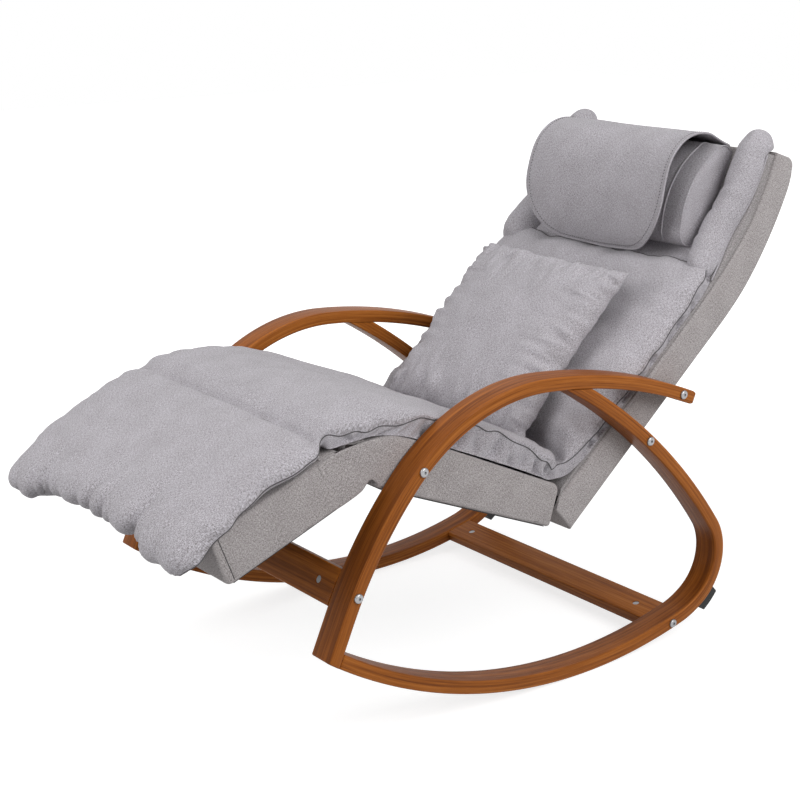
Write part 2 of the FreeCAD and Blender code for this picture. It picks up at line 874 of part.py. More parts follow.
# Massage arms and rollers
arm_inner = massage_arm_x - massage_arm_thickness / 2
arm_outer = massage_arm_x + massage_arm_thickness / 2
arm_bar = [
    (c - roller_offset - 8, knead_level - 6, 5),
    (c - 14, knead_level - 6, 8),
    (c, knead_level - 9, 20),
    (c + 14, knead_level - 6, 8),
    (c + roller_offset + 8, knead_level - 6, 5),
    (c + roller_offset + 8, knead_level + 6, 5),
    (c - roller_offset - 8, knead_level + 6, 5),
]
massage_arm = prism(rounded(arm_bar, yz), arm_inner, arm_outer)
massage_arm = massage_arm.cut(rod_x(knead_radius + running_clearance, 0, frame_width, c, knead_level))
roller_start = arm_outer + roller_gap
roller_end = roller_start + roller_width
axles = []
for way, s in (("lower", c - roller_offset), ("upper", c + roller_offset)):
    massage_arm = massage_arm.cut(rod_x(roller_axle_radius + 0.3, 0, frame_width, s, knead_level))
    axle = rod_x(roller_axle_radius, arm_inner, roller_end + 3, s, knead_level)
    axle = axle.fuse(rod_x(roller_axle_radius + 3, roller_end + 1, roller_end + 3, s, knead_level))
    axles.append(in_back(axle))
    roller = rod_x(roller_radius, roller_start, roller_end, s, knead_level)
    roller = roller.makeFillet(6, [e for e in roller.Edges if e.BoundBox.XLength < 0.001])
    roller = roller.cut(rod_x(roller_axle_radius + running_clearance, 0, frame_width, s, knead_level))
    save("left_" + way + "_roller", in_back(roller))
    save("right_" + way + "_roller", in_back(mirrored(roller)))
save("left_massage_arm", in_back(massage_arm))
save("right_massage_arm", in_back(mirrored(massage_arm)))
save("left_roller_axles", Part.makeCompound(axles))
save("right_roller_axles", Part.makeCompound([mirrored(a) for a in axles]))

# Control box, power jack and switch
jack_level = -control_depth / 2
switch_s = control_start + control_length / 2
control = block(
    -control_half_width,
    control_half_width,
    control_start,
    control_start + control_length,
    -control_depth,
    0,
)
control = control.cut(
    block(
        -control_half_width + control_wall,
        control_half_width - control_wall,
        control_start + control_wall,
        control_start + control_length - control_wall,
        -control_depth + control_wall,
        0,
    )
)
jack_way_end = control_start + 2 * control_wall
control = control.cut(rod_y(jack_radius + 0.3, control_start - 1, jack_way_end, jack_x, jack_level))
bezel_half = switch_width / 2 + bezel_rim
bezel_reach = switch_length / 2 + bezel_rim


def at_switch(half, reach, low, high):
    piece = block(switch_x - half, switch_x + half, switch_s - reach, switch_s + reach, low, high)
    piece.translate(V(0, 0, -control_depth))
    return piece


control = control.cut(at_switch(bezel_half + 0.3, bezel_reach + 0.3, -1, 2 * control_wall))
save("control_box", in_back(control))
jack = rod_y(jack_radius, control_start - 2, control_start - 2 + jack_length, jack_x, jack_level)
jack = jack.fuse(rod_y(jack_radius + 2, control_start - 2, control_start, jack_x, jack_level))
jack_bore_end = control_start - 2 + jack_bore_depth
jack = jack.cut(rod_y(jack_bore_radius, control_start - 3, jack_bore_end, jack_x, jack_level))
save("power_jack", in_back(jack))
bezel = at_switch(bezel_half, bezel_reach, -1, 14)
bezel = bezel.cut(at_switch(switch_width / 2 + switch_gap, switch_length / 2 + switch_gap, -1, 10))
save("switch_bezel", in_back(bezel))
key_half = switch_length / 2
key_profile = [
    (switch_s - key_half + 1, 1 - control_depth),
    (switch_s + key_half - 1, 1 - control_depth),
    (switch_s + key_half - 3, 6 - control_depth, 1),
    (switch_s - key_half + 3, 6 - control_depth, 1),
]
key = prism(rounded(key_profile, yz), switch_x - switch_width / 2, switch_x + switch_width / 2)
save("power_switch", in_back(key))


# Soft pieces
def loft_x(section, stations):
    wires = []
    for x, edge in stations:
        wire = section(edge)
        wire.translate(V(x, 0, 0))
        wires.append(wire)
    return Part.makeLoft(wires, True, False)


def crowned(half):
    return [(-half, 1.0), (-half * 0.8, 0.3), (0, 0.0), (half * 0.8, 0.3), (half, 1.0)]


leg_base = leg_top + soft_gap
leg_high = leg_base + leg_cushion_height


def leg_section(edge):
    drop = 26 * edge
    return arcs(
        [
            (leg_rear - 44, leg_base),
            (leg_front - 6, leg_base),
            (leg_front - 6, leg_base - 24 + 6 * edge),
            (leg_front - 44, leg_base - 38 + 10 * edge, leg_front - 57 + 4 * edge, leg_base - 20 + 2 * edge),
            (leg_front - 46, leg_base + 14 - 0.8 * drop, leg_front, leg_high - 17 - 0.95 * drop),
            (leg_front + 70, leg_high - 3 - drop, leg_front + 135, leg_high - drop),
            (leg_rear - 32, leg_high - 4 - drop),
        ],
        yz,
    )


leg_cushion = at_hinge(loft_x(leg_section, crowned(cushion_half_width)), leg_tilt)
save("leg_cushion", leg_cushion)

seat_base = seat_top + 3 * soft_gap
seat_high = seat_base + seat_cushion_height - 2
seat_cushion_rear = seat_rear - seat_cushion_rear_inset


def seat_section(edge):
    drop = 20 * edge
    return arcs(
        [
            (seat_cushion_rear - 8, seat_base),
            (seat_front + 4, seat_base),
            (seat_front - 46, seat_base - 19),
            (seat_front - 92, seat_base - 43),
            (seat_front - 122, seat_base - 72),
            (seat_front - 128, seat_base - 43 - 0.6 * drop, seat_front - 70, seat_base + 3 - drop),
            (seat_front + 30, seat_high - 16 - drop, seat_front + 90, seat_high - 2 - drop),
            (seat_front + 154, seat_high - drop, seat_front + 290, seat_high + 1 - drop),
            (seat_cushion_rear + 18 - 0.5 * drop, seat_high - drop),
        ],
        yz,
    )


seat_cushion = at_hinge(loft_x(seat_section, crowned(cushion_half_width - seat_cushion_inset)), seat_tilt)
save("seat_cushion", seat_cushion)

cushion_low = back_depth + back_panel_thickness + soft_gap
pillow_low = back_depth + back_panel_thickness + soft_gap / 2
cushion_path = cut_path(back_path, back_cushion_start, back_cushion_end)


def back_section(edge):
    return band_wire(cushion_path, cushion_low, cushion_low + back_cushion_height * (1 - 0.45 * edge))


save("back_cushion", loft_x(back_section, crowned(back_cushion_half_width)))

roll_turn = back_bend + math.degrees(bolster_overhang / back_bend_radius)
roll_path = (back_y, back_z, back_tilt, [(back_straight, 0), (back_bend_radius, roll_turn)])
bolster_end = back_length + bolster_overhang


def bolster_section(edge):
    fall = math.sqrt(1 - edge**2)
    short = bolster_radius * (1 - fall)
    stretch = cut_path(roll_path, bolster_start + short, bolster_end - short)
    return band_wire(stretch, pillow_low, pillow_low + bolster_height * fall)


bolster_edges = (-0.96, -0.75, -0.4, 0.0, 0.4, 0.75, 0.96)
bolster = loft_x(bolster_section, [(bolster_x + bolster_radius * e, e) for e in bolster_edges])
save("left_bolster", bolster)
save("right_bolster", mirrored(bolster))

head_at = walk(back_path, pillow_middle_distance)


def in_head(shape):
    return placed(shape, *head_at)


def on_pillow(*parts):
    """Points given as parts of the pillow's length and height."""
    sizes = ((-pillow_length / 2, pillow_length), (pillow_low, pillow_height))
    return tuple(sizes[i % 2][0] + sizes[i % 2][1] * part for i, part in enumerate(parts))


def on_panel(part):
    """A point on the curved panel, under a part of the pillow's length."""
    u = on_pillow(part)[0]
    return u, back_bend_radius - math.sqrt((back_bend_radius - pillow_low) ** 2 - u**2)


pillow_outline = [
    on_panel(0.069) + on_panel(0.5),
    on_panel(0.98) + on_pillow(1, 0.367),
    on_pillow(0.912, 0.633, 0.51, 1),
    on_pillow(0.108, 0.767, 0.005, 0.487),
]
pillow_middle = on_pillow(0.5, 0.47)


def pillow_wire(x, size):
    points = []
    for p in pillow_outline:
        moved = [pillow_middle[i % 2] + size * (v - pillow_middle[i % 2]) for i, v in enumerate(p)]
        points.append(tuple(moved))
    wire = arcs(points, yz)
    wire.translate(V(x, 0, 0))
    return wire


pillow_ends = head_pillow_half_width - pillow_end_rounding
pillow_wires = [
    pillow_wire(-head_pillow_half_width, 0.92),
    pillow_wire(-pillow_ends, 1.0),
    pillow_wire(pillow_ends, 1.0),
    pillow_wire(head_pillow_half_width, 0.92),
]
pillow = Part.makeLoft(pillow_wires, True, True)
save("head_pillow", in_head(pillow))

lean = math.radians(top[2])
flap_path = (
    top[0] + soft_gap / 2 * math.cos(lean) - head_flap_seam_level * math.sin(lean),
    top[1] + soft_gap / 2 * math.sin(lean) + head_flap_seam_level * math.cos(lean),
    top[2] + 90,
    [
        (head_flap_rise, 0),
        (head_flap_top_radius, head_flap_top_turn),
        (head_flap_front_radius, head_flap_front_turn),
        (head_flap_top_radius, head_flap_hem_turn),
    ],
)
flap = band(flap_path, -head_flap_thickness, 0, -head_flap_half_width, head_flap_half_width)
hem = flap.copy()
hem.translate(V(0, -head_at[0], -head_at[1]))
hem.rotate(V(0, 0, 0), V(1, 0, 0), -head_at[2])
flap_low = hem.BoundBox.YMin
flap_drop = 0.97 * head_flap_corner
for side in (-1, 1):
    corner = Part.makeBox(
        head_flap_corner,
        2 * head_flap_corner,
        4 * pillow_height,
        V(min(0, side * head_flap_corner), -2 * head_flap_corner, 0),
    )
    corner = corner.cut(Part.makeCylinder(head_flap_corner, 4 * pillow_height))
    corner.translate(V(side * (head_flap_half_width - flap_drop), flap_low + flap_drop, 0))
    flap = flap.cut(in_head(corner))
save("head_flap", flap)

# Lumbar pillow with four drawn-in edges
w = lumbar_half_width
h = lumbar_half_length
d = lumbar_half_thickness
lens_x = Part.Face(arcs([(-w, 0, 0, d), (w, 0, 0, -d)], xz)).extrude(V(0, 2 * h, 0))
lens_x.translate(V(0, -h, 0))
lens_y = Part.Face(arcs([(-h, 0, 0, d), (h, 0, 0, -d)], yz)).extrude(V(2 * w, 0, 0))
lens_y.translate(V(-w, 0, 0))
g = lumbar_draw
sides = arcs([(-w, -h, 0, g - h), (w, -h, w - g, 0), (w, h, 0, h - g), (-w, h, g - w, 0)], xy)
plan = Part.Face(sides).extrude(V(0, 0, 2 * d))
plan.translate(V(0, 0, -d))
lumbar = lens_x.common(lens_y).common(plan)
lumbar.translate(V(0, lumbar_middle_s, lumbar_middle_n))
save("lumbar_pillow", in_back(lumbar))
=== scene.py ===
import json
import math

import bmesh
import bpy
import numpy as np
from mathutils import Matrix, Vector, noise


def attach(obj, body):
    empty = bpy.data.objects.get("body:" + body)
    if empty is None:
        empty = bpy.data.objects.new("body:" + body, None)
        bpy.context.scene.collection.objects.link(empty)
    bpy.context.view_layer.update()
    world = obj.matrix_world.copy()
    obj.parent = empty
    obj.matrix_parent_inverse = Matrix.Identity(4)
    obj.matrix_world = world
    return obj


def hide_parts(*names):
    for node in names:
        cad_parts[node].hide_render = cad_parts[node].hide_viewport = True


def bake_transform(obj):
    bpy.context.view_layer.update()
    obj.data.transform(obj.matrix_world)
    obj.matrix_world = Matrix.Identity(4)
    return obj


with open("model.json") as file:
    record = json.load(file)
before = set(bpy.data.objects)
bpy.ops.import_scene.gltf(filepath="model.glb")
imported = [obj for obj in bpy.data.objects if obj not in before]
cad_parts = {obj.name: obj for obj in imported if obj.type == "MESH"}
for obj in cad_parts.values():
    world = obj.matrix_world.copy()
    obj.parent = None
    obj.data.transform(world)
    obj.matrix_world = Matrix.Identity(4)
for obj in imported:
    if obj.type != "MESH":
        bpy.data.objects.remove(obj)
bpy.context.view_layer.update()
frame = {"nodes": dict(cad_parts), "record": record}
nodes = frame["nodes"]
scene = bpy.context.scene
MM = 0.001

# Lines and places shared with the frame, in millimetres


def curve_path(y, z, heading, pieces):
    """Distance, y, z and heading at every millimetre of a line of straight and round stretches."""
    rows = [(0.0, y, z, math.radians(heading))]
    for size, turn in pieces:
        d0, y0, z0, h0 = rows[-1]
        length = size if turn == 0 else size * math.radians(abs(turn))
        count = int(length)
        for i in range(1, count + 1):
            a = length * i / count
            if turn == 0:
                rows.append((d0 + a, y0 + a * math.cos(h0), z0 + a * math.sin(h0), h0))
                continue
            k = math.copysign(size, turn)
            h = h0 + a / k
            y1 = y0 + k * (math.sin(h) - math.sin(h0))
            z1 = z0 - k * (math.cos(h) - math.cos(h0))
            rows.append((d0 + a, y1, z1, h))
    return np.array(rows).T


def along(path, d, n):
    """Points at distances d along a path and n to its left."""
    d = np.asarray(d, float)
    h = np.interp(d, path[0], path[3])
    past = d - np.clip(d, path[0][0], path[0][-1])
    y = np.interp(d, path[0], path[1]) + past * np.cos(h) - n * np.sin(h)
    z = np.interp(d, path[0], path[2]) + past * np.sin(h) + n * np.cos(h)
    return y, z


def place(y, z, tilt):
    """A map from a tilted frame with its origin at (y, z)."""
    c = math.cos(math.radians(tilt))
    s = math.sin(math.radians(tilt))

    def spot(a, n):
        return y + a * c - n * s, z + a * s + n * c

    return spot


KNEE_AT, LEG_TILT, SEAT_TILT = (-323.0, 458.0), 21.2, -23.0
in_leg = place(*KNEE_AT, LEG_TILT)
in_seat = place(*KNEE_AT, SEAT_TILT)
OUTER_X, INNER_X, HALF_STRIP = 330.0, 280.6, 12.0
ROCKER_R, CONTACT_Y, ROCKER_LEAN = 980.0, 131.0, 34.0
ROCKER_LINE_R = ROCKER_R - HALF_STRIP
arm_path = curve_path(-430.0, 155.5, 66.4, [(91.0, 0), (713.0, -18.7), (351.0, -51.1), (1065.0, -20.0)])
rocker_path = curve_path(
    CONTACT_Y - ROCKER_LINE_R * math.sin(math.radians(ROCKER_LEAN)),
    ROCKER_R - ROCKER_LINE_R * math.cos(math.radians(ROCKER_LEAN)),
    -ROCKER_LEAN,
    [(ROCKER_LINE_R, 48.0), (169.0, 20.4), (100.0, 92.0), (1192.0, 27.0)],
)
BACK_AT = (125.272, 254.457, 40.7)
back_path = curve_path(*BACK_AT, [(440.0, 0), (740.0, 29.9)])
BACK_LENGTH = back_path[0][-1]
in_lumbar = place(*BACK_AT)


def in_back(t, n):
    return along(back_path, t, n)


HEAD_AT, FLAP_SEAM = 700.0, 40.0
head_y, head_z = in_back(HEAD_AT, 0.0)
in_head = place(float(head_y), float(head_z), math.degrees(np.interp(HEAD_AT, back_path[0], back_path[3])))
flap_y, flap_z = in_back(BACK_LENGTH + 0.5, FLAP_SEAM)
flap_path = curve_path(
    float(flap_y),
    float(flap_z),
    math.degrees(back_path[3][-1]) + 90.0,
    [(76.0, 0), (90.0, 88.2), (250.0, 27.0), (90.0, 30.0)],
)
FLAP_LENGTH = flap_path[0][-1]

# Materials


def material(name, **sockets):
    """A new node material; sockets set the shader's own values."""
    m = bpy.data.materials.new(name)
    m.use_nodes = True
    shader = m.node_tree.nodes["Principled BSDF"]
    for key, value in sockets.items():
        shader.inputs[key.replace("_", " ")].default_value = value
    return m, m.node_tree, shader


def add(tree, kind, inputs=(), **settings):
    """A node with settings and inputs, each a value or a socket to link."""
    n = tree.nodes.new("ShaderNode" + kind)
    for key, value in settings.items():
        setattr(n, key, value)
    for key, value in dict(inputs).items():
        if isinstance(value, bpy.types.NodeSocket):
            tree.links.new(value, n.inputs[key])
        else:
            n.inputs[key].default_value = value
    return n


def math_node(tree, operation, a, b=0.0):
    return add(tree, "Math", {0: a, 1: b}, operation=operation).outputs[0]


def weighted(tree, *terms):
    """A sum of sockets, each with its weight."""
    total = 0.0
    for socket, weight in terms:
        total = add(tree, "Math", {0: socket, 1: weight, 2: total}, operation="MULTIPLY_ADD").outputs[0]
    return total


def ramp(tree, value, stops):
    n = add(tree, "ValToRGB", {0: value})
    elements = n.color_ramp.elements
    for k in (0, -1):
        elements[k].position = stops[k][0]
        elements[k].color = (*stops[k][1], 1)
    for at, colour in stops[1:-1]:
        elements.new(at).color = (*colour, 1)
    return n.outputs[0]


def noise_tex(tree, vector, scale, detail, rough=0.5):
    spread = add(tree, "VectorMath", {0: vector, 1: scale}, operation="MULTIPLY").outputs[0]
    inputs = {"Vector": spread, "Scale": 1.0, "Detail": detail, "Roughness": rough}
    return add(tree, "TexNoise", inputs).outputs["Fac"]


def bump(tree, shader, height, distance, strength):
    n = add(tree, "Bump", {"Height": height, "Distance": distance, "Strength": strength})
    tree.links.new(n.outputs[0], shader.inputs["Normal"])


YARN, VENEER = 0.0013, 0.0024


def fabric(name, dark, middle, light):
    """Heather plain weave with slubs, drawn in the piece's own metres."""
    m, tree, shader = material(name, Roughness=0.95, Sheen_Weight=0.1, Sheen_Roughness=0.5)
    uv = add(tree, "UVMap", uv_map="weave").outputs[0]
    slub_u = noise_tex(tree, uv, (230.0, 1150.0, 1.0), 1.5)
    slub_v = noise_tex(tree, uv, (1150.0, 230.0, 1.0), 1.5)
    mottle = noise_tex(tree, uv, (640.0, 640.0, 1.0), 2.0, 0.6)
    broad = noise_tex(tree, uv, (22.0, 22.0, 1.0), 3.0)
    tone = weighted(tree, (slub_u, 0.27), (slub_v, 0.27), (mottle, 0.4), (broad, 0.06))
    colour = ramp(tree, tone, [(0.4, dark), (0.5, middle), (0.6, light)])
    tree.links.new(colour, shader.inputs["Base Color"])
    parts = add(tree, "SeparateXYZ", {0: uv})
    turns = [math_node(tree, "MULTIPLY", parts.outputs[k], math.pi / YARN) for k in (0, 1)]
    weave = math_node(tree, "MULTIPLY", *[math_node(tree, "SINE", turn) for turn in turns])
    bump(tree, shader, weighted(tree, (weave, 0.35), (tone, 1.0)), 0.0008, 0.5)
    return m


def wood(name, tones):
    """Stained laminated wood: streaks run along the first coordinate, layers lie along the third."""
    m, tree, shader = material(name, Roughness=0.4, Specular_IOR_Level=0.12)
    vector = add(tree, "Attribute", attribute_name="grain").outputs["Vector"]
    long = noise_tex(tree, vector, (4.0, 170.0, 230.0), 5.0, 0.62)
    fibre = noise_tex(tree, vector, (22.0, 900.0, 900.0), 3.0, 0.6)
    broad = noise_tex(tree, vector, (2.0, 12.0, 12.0), 2.0)
    layer = math_node(tree, "DIVIDE", add(tree, "SeparateXYZ", {0: vector}).outputs[2], VENEER)
    number = math_node(tree, "FLOOR", layer)
    sheet = add(tree, "TexWhiteNoise", {"W": number}, noise_dimensions="1D").outputs[0]
    sheet = math_node(tree, "SUBTRACT", sheet, 0.5)
    near = math_node(tree, "ABSOLUTE", math_node(tree, "SUBTRACT", math_node(tree, "FRACT", layer), 0.5))
    glue = math_node(tree, "GREATER_THAN", near, 0.45)
    tone = weighted(tree, (long, 0.62), (fibre, 0.2), (broad, 0.16), (sheet, 0.09), (glue, -0.05))
    colour = ramp(tree, tone, list(zip((0.33, 0.45, 0.54, 0.68), tones)))
    tree.links.new(colour, shader.inputs["Base Color"])
    gloss = add(tree, "MapRange", {0: fibre, 1: 0.3, 2: 0.7, 3: 0.5, 4: 0.34}).outputs[0]
    tree.links.new(gloss, shader.inputs["Roughness"])
    bump(tree, shader, weighted(tree, (fibre, 1.0), (long, 0.6)), 0.0004, 0.5)
    return m


def plain(name, colour, rough, metal=0.0, scale=400.0, vary=0.12, depth=0.0001):
    """Metal, plastic, rubber or foam with a fine uneven finish."""
    m, tree, shader = material(name, Metallic=metal, Roughness=rough)
    vector = add(tree, "TexCoord").outputs["Object"]
    fine = noise_tex(tree, vector, (scale, scale, scale), 3.0)
    broad = noise_tex(tree, vector, (25.0, 25.0, 25.0), 2.0)
    mixed = weighted(tree, (fine, 0.6), (broad, 0.4))
    low = tuple(c * (1 - vary) for c in colour)
    high = tuple(min(1.0, c * (1 + vary)) for c in colour)
    tree.links.new(ramp(tree, mixed, [(0.3, low), (0.7, high)]), shader.inputs["Base Color"])
    spread = add(tree, "MapRange", {0: mixed, 1: 0.3, 2: 0.7, 3: rough * 0.85, 4: min(1.0, rough * 1.15)})
    tree.links.new(spread.outputs[0], shader.inputs["Roughness"])
    bump(tree, shader, fine, depth, 0.4)
    return m


linen = fabric("linen", (0.185, 0.17, 0.172), (0.365, 0.346, 0.37), (0.58, 0.555, 0.605))
linen_shell = fabric("linen_shell", (0.16, 0.142, 0.138), (0.345, 0.318, 0.317), (0.58, 0.545, 0.548))
# Darker cloth for the back panel: painted shade of the recess between the back cushion and the shell
linen_painted_shade = fabric("linen_painted_shade", (0.135, 0.12, 0.116), (0.275, 0.256, 0.257), (0.45, 0.425, 0.43))
lining_cloth = fabric("lining_cloth", (0.012, 0.012, 0.012), (0.02, 0.02, 0.02), (0.035, 0.035, 0.035))
# Real stitching thread, drawn nearly black as painted shade of the seam grooves and needle holes
thread_and_seam_shade = plain("thread_and_seam_shade", (0.075, 0.07, 0.072), 0.85, vary=0.2, scale=1500.0)
teak = wood(
    "teak", [(0.14, 0.037, 0.005), (0.25, 0.073, 0.0105), (0.345, 0.108, 0.0165), (0.45, 0.165, 0.036)]
)
ply = wood("ply", [(0.38, 0.25, 0.13), (0.5, 0.35, 0.2), (0.6, 0.45, 0.28), (0.7, 0.55, 0.36)])
finishes = {
    "wood": teak,
    "plywood": ply,
    "cover_fabric": linen_shell,
    "cushion_fabric": linen,
    "lining": lining_cloth,
}
for slot, colour, rough, more in (
    ("bolt_steel", (0.33, 0.33, 0.34), 0.32, {"metal": 1.0, "scale": 900.0}),
    ("stop_rubber", (0.018, 0.018, 0.018), 0.8, {}),
    ("foam", (0.72, 0.68, 0.55), 0.95, {"scale": 700.0, "depth": 0.0004}),
    ("frame_steel", (0.035, 0.035, 0.037), 0.42, {"scale": 600.0}),
    ("back_board", (0.06, 0.055, 0.05), 0.75, {"scale": 300.0}),
    ("webbing", (0.07, 0.07, 0.075), 0.9, {"scale": 800.0}),
    ("unit_steel", (0.25, 0.25, 0.26), 0.4, {"metal": 0.7}),
    ("motor_steel", (0.1, 0.1, 0.105), 0.38, {"metal": 0.8}),
    ("nut_brass", (0.72, 0.53, 0.22), 0.3, {"metal": 1.0}),
    ("roller_rubber", (0.1, 0.085, 0.08), 0.75, {}),
    ("box_plastic", (0.04, 0.04, 0.042), 0.55, {"scale": 1500.0}),
    ("switch_plastic", (0.025, 0.025, 0.027), 0.25, {}),
):
    finishes[slot] = plain(slot, colour, rough, **more)
for row in frame["record"]["subparts"]:
    own = nodes[row["node"]].data.materials
    own.clear()
    own.append(finishes[row["material_slot"]])

# Meshes


def linked(name, data):
    """A new object in the scene."""
    o = bpy.data.objects.new(name, data)
    scene.collection.objects.link(o)
    return o


def set_grain(mesh, rows):
    """Stores where in the wood each point lies, in metres."""
    made = mesh.attributes.new("grain", "FLOAT_VECTOR", "POINT")
    made.data.foreach_set("vector", np.asarray(rows, np.float32).ravel())


def shape(name, patch, finish, grain=None, sewn=None):
    """A new object from points in millimetres, faces and one uv row for each face corner, and its thread."""
    plain_faces = len(patch[1])
    verts, faces, uvs = merged(patch, sewn) if sewn else patch
    mesh = bpy.data.meshes.new(name)
    mesh.from_pydata((np.asarray(verts, float) * MM).tolist(), [], faces)
    if uvs is not None:
        layer = mesh.uv_layers.new(name="weave")
        layer.data.foreach_set("uv", (np.asarray(uvs, float) * MM).ravel())
    if grain is not None:
        set_grain(mesh, np.asarray(grain, float) * MM)
    mesh.materials.append(finish)
    if sewn:
        mesh.materials.append(thread_and_seam_shade)
        mesh.polygons.foreach_set("material_index", (np.arange(len(faces)) >= plain_faces).astype(np.int32))
    bm = bmesh.new()
    bm.from_mesh(mesh)
    many = [f for f in bm.faces if len(f.verts) > 4]
    bmesh.ops.triangulate(bm, faces=many, ngon_method="EAR_CLIP")
    bmesh.ops.recalc_face_normals(bm, faces=bm.faces)
    if bm.calc_volume(signed=True) < 0:
        bmesh.ops.reverse_faces(bm, faces=[f for f in bm.faces if f.material_index == 0])
    bm.to_mesh(mesh)
    bm.free()
    mesh.shade_smooth()
    return linked(name, mesh)


def finish_piece(o, body, slot, *replaced):
    """Attaches a piece to its body and hides the nodes that it stands for; the slot is not used."""
    if body:
        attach(o, body)
    if replaced:
        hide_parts(*replaced)
    return o


def merged(*patches):
    """Several patches as one."""
    verts, faces, uvs = [], [], []
    for v, f, u in patches:
        base = len(verts)
        verts += [tuple(p) for p in v]
        faces += [[base + k for k in face] for face in f]
        uvs += list(u)
    return verts, faces, uvs


def apply_modifiers(o):
    """Leaves the modified mesh as the object's own."""
    bpy.context.view_layer.update()
    made = bpy.data.meshes.new_from_object(o.evaluated_get(bpy.context.evaluated_depsgraph_get()))
    o.modifiers.clear()
    old = o.data
    o.data = made
    made.name = o.name
    bpy.data.meshes.remove(old)
    return o


def run_of(line):
    """Distance along a line at each of its points."""
    return np.concatenate([[0], np.cumsum(np.linalg.norm(np.diff(np.asarray(line, float), axis=0), axis=1))])


def unit(rows):
    return rows / np.maximum(np.linalg.norm(rows, axis=-1), 1e-9)[..., None]


def crosswise(ahead):
    """Two unit directions across each row of a direction."""
    side = unit(np.cross(unit(ahead), (0.31, 0.42, 0.85)))
    return side, np.cross(unit(ahead), side)


def loft(rings, count, quad_uvs, cap_uvs):
    """Faces between closed rings of points, with one face at each end, and the uvs of their corners."""
    faces, uvs = [], []
    for i in range(rings - 1):
        for j in range(count):
            w = (j + 1) % count
            faces.append([i * count + j, (i + 1) * count + j, (i + 1) * count + w, i * count + w])
            uvs += quad_uvs(i, j)
    for i in (0, rings - 1):
        faces.append([i * count + j for j in range(count)])
        uvs += cap_uvs(i)
    return faces, uvs


def lengthwise(run, width):
    """Uvs of the faces of a round piece: its run and a width for each face."""

    def quad(i, j):
        a, b = width * j, width * (j + 1)
        return [(run[i], a), (run[i + 1], a), (run[i + 1], b), (run[i], b)]

    return quad


TUBE_SIDES = 8


def tube(line, radius):
    """A round cord along a line, with flat ends."""
    line = np.asarray(line, float)
    side, up = crosswise(np.gradient(line, axis=0))
    turn = np.linspace(0, 2 * math.pi, TUBE_SIDES, endpoint=False)
    ring = np.cos(turn)[None, :, None] * side[:, None, :] + np.sin(turn)[None, :, None] * up[:, None, :]
    verts = (line[:, None, :] + radius * ring).reshape(-1, 3)
    width = 2 * radius
    caps = [(0, width * j) for j in range(TUBE_SIDES)]
    return verts, *loft(len(line), TUBE_SIDES, lengthwise(run_of(line), width), lambda i: caps)


def stitches(line, pitch, share, radius):
    """A row of sewn stitches along a line, each a spindle."""
    line = np.asarray(line, float)
    run = run_of(line)
    starts = np.arange(pitch / 2, run[-1] - pitch, pitch)

    def at(d):
        return np.stack([np.interp(d, run, line[:, k]) for k in range(3)], 1)

    first, last = at(starts), at(starts + share * pitch)
    side, up = crosswise(last - first)
    verts, faces, uvs = [], [], []
    for p, q, s, u in zip(first, last, side, up):
        base = len(verts)
        middle = (p + q) / 2
        turns = np.arange(6) * math.pi / 3
        verts += [p, q] + [middle + radius * (math.cos(a) * s + math.sin(a) * u) for a in turns]
        for k in range(6):
            w = (k + 1) % 6
            faces += [[base, base + 2 + k, base + 2 + w], [base + 1, base + 2 + w, base + 2 + k]]
            uvs += [(0, k), (1.5, k), (1.5, k + 1), (3, k), (1.5, k + 1), (1.5, k)]
    return verts, faces, uvs


def rumple(points, size, amount, seed):
    """Soft unevenness at each point."""
    flat = points.reshape(-1, 3) / size
    value = np.array([noise.noise((p[0] + seed, p[1] - seed, p[2] + 0.5 * seed)) for p in flat])
    return amount * value.reshape(points.shape[:-1])


def folds(where, away, size, reach, amount, seed):
    """Gathers that run away from a seam: where is along it, away is the distance from it."""
    w = np.asarray(where, float)
    a = np.asarray(away, float)
    value = [
        noise.noise((p, q, seed)) + 0.5 * noise.noise((2.3 * p, q, seed + 7))
        for p, q in zip(w.ravel() / size, a.ravel() / (4 * size))
    ]
    return amount * np.reshape(value, w.shape) * np.exp(-a / reach) * (1 - np.exp(-a / 6.0))


def spline(rows, count):
    """Smooth rows through control rows, even along their first two columns, and where each of these fell."""
    rows = np.array(rows, float)
    gaps = np.linalg.norm(np.diff(rows[:, :2], axis=0), axis=1)
    knots = np.concatenate([[0], np.cumsum(np.maximum(gaps, 4.0))])
    slopes = np.gradient(rows, knots, axis=0)
    at = np.linspace(0, knots[-1], count)
    i = np.clip(np.searchsorted(knots, at, side="right") - 1, 0, len(knots) - 2)
    h = (knots[i + 1] - knots[i])[:, None]
    t = ((at - knots[i]) / (knots[i + 1] - knots[i]))[:, None]
    first = (2 * t**3 - 3 * t**2 + 1) * rows[i] + (t**3 - 2 * t**2 + t) * h * slopes[i]
    made = first + (3 * t**2 - 2 * t**3) * rows[i + 1] + (t**3 - t**2) * h * slopes[i + 1]
    return made, knots / knots[-1] * (count - 1)


def out_of(points):
    """Unit normals of a grid of points."""
    return unit(np.cross(np.gradient(points, axis=1), np.gradient(points, axis=0)))


def arc_length(points, axis):
    step = np.linalg.norm(np.diff(points, axis=axis), axis=2)
    zero = np.zeros_like(np.take(step, [0], axis=axis))
    return np.concatenate([zero, np.cumsum(step, axis=axis)], axis=axis)


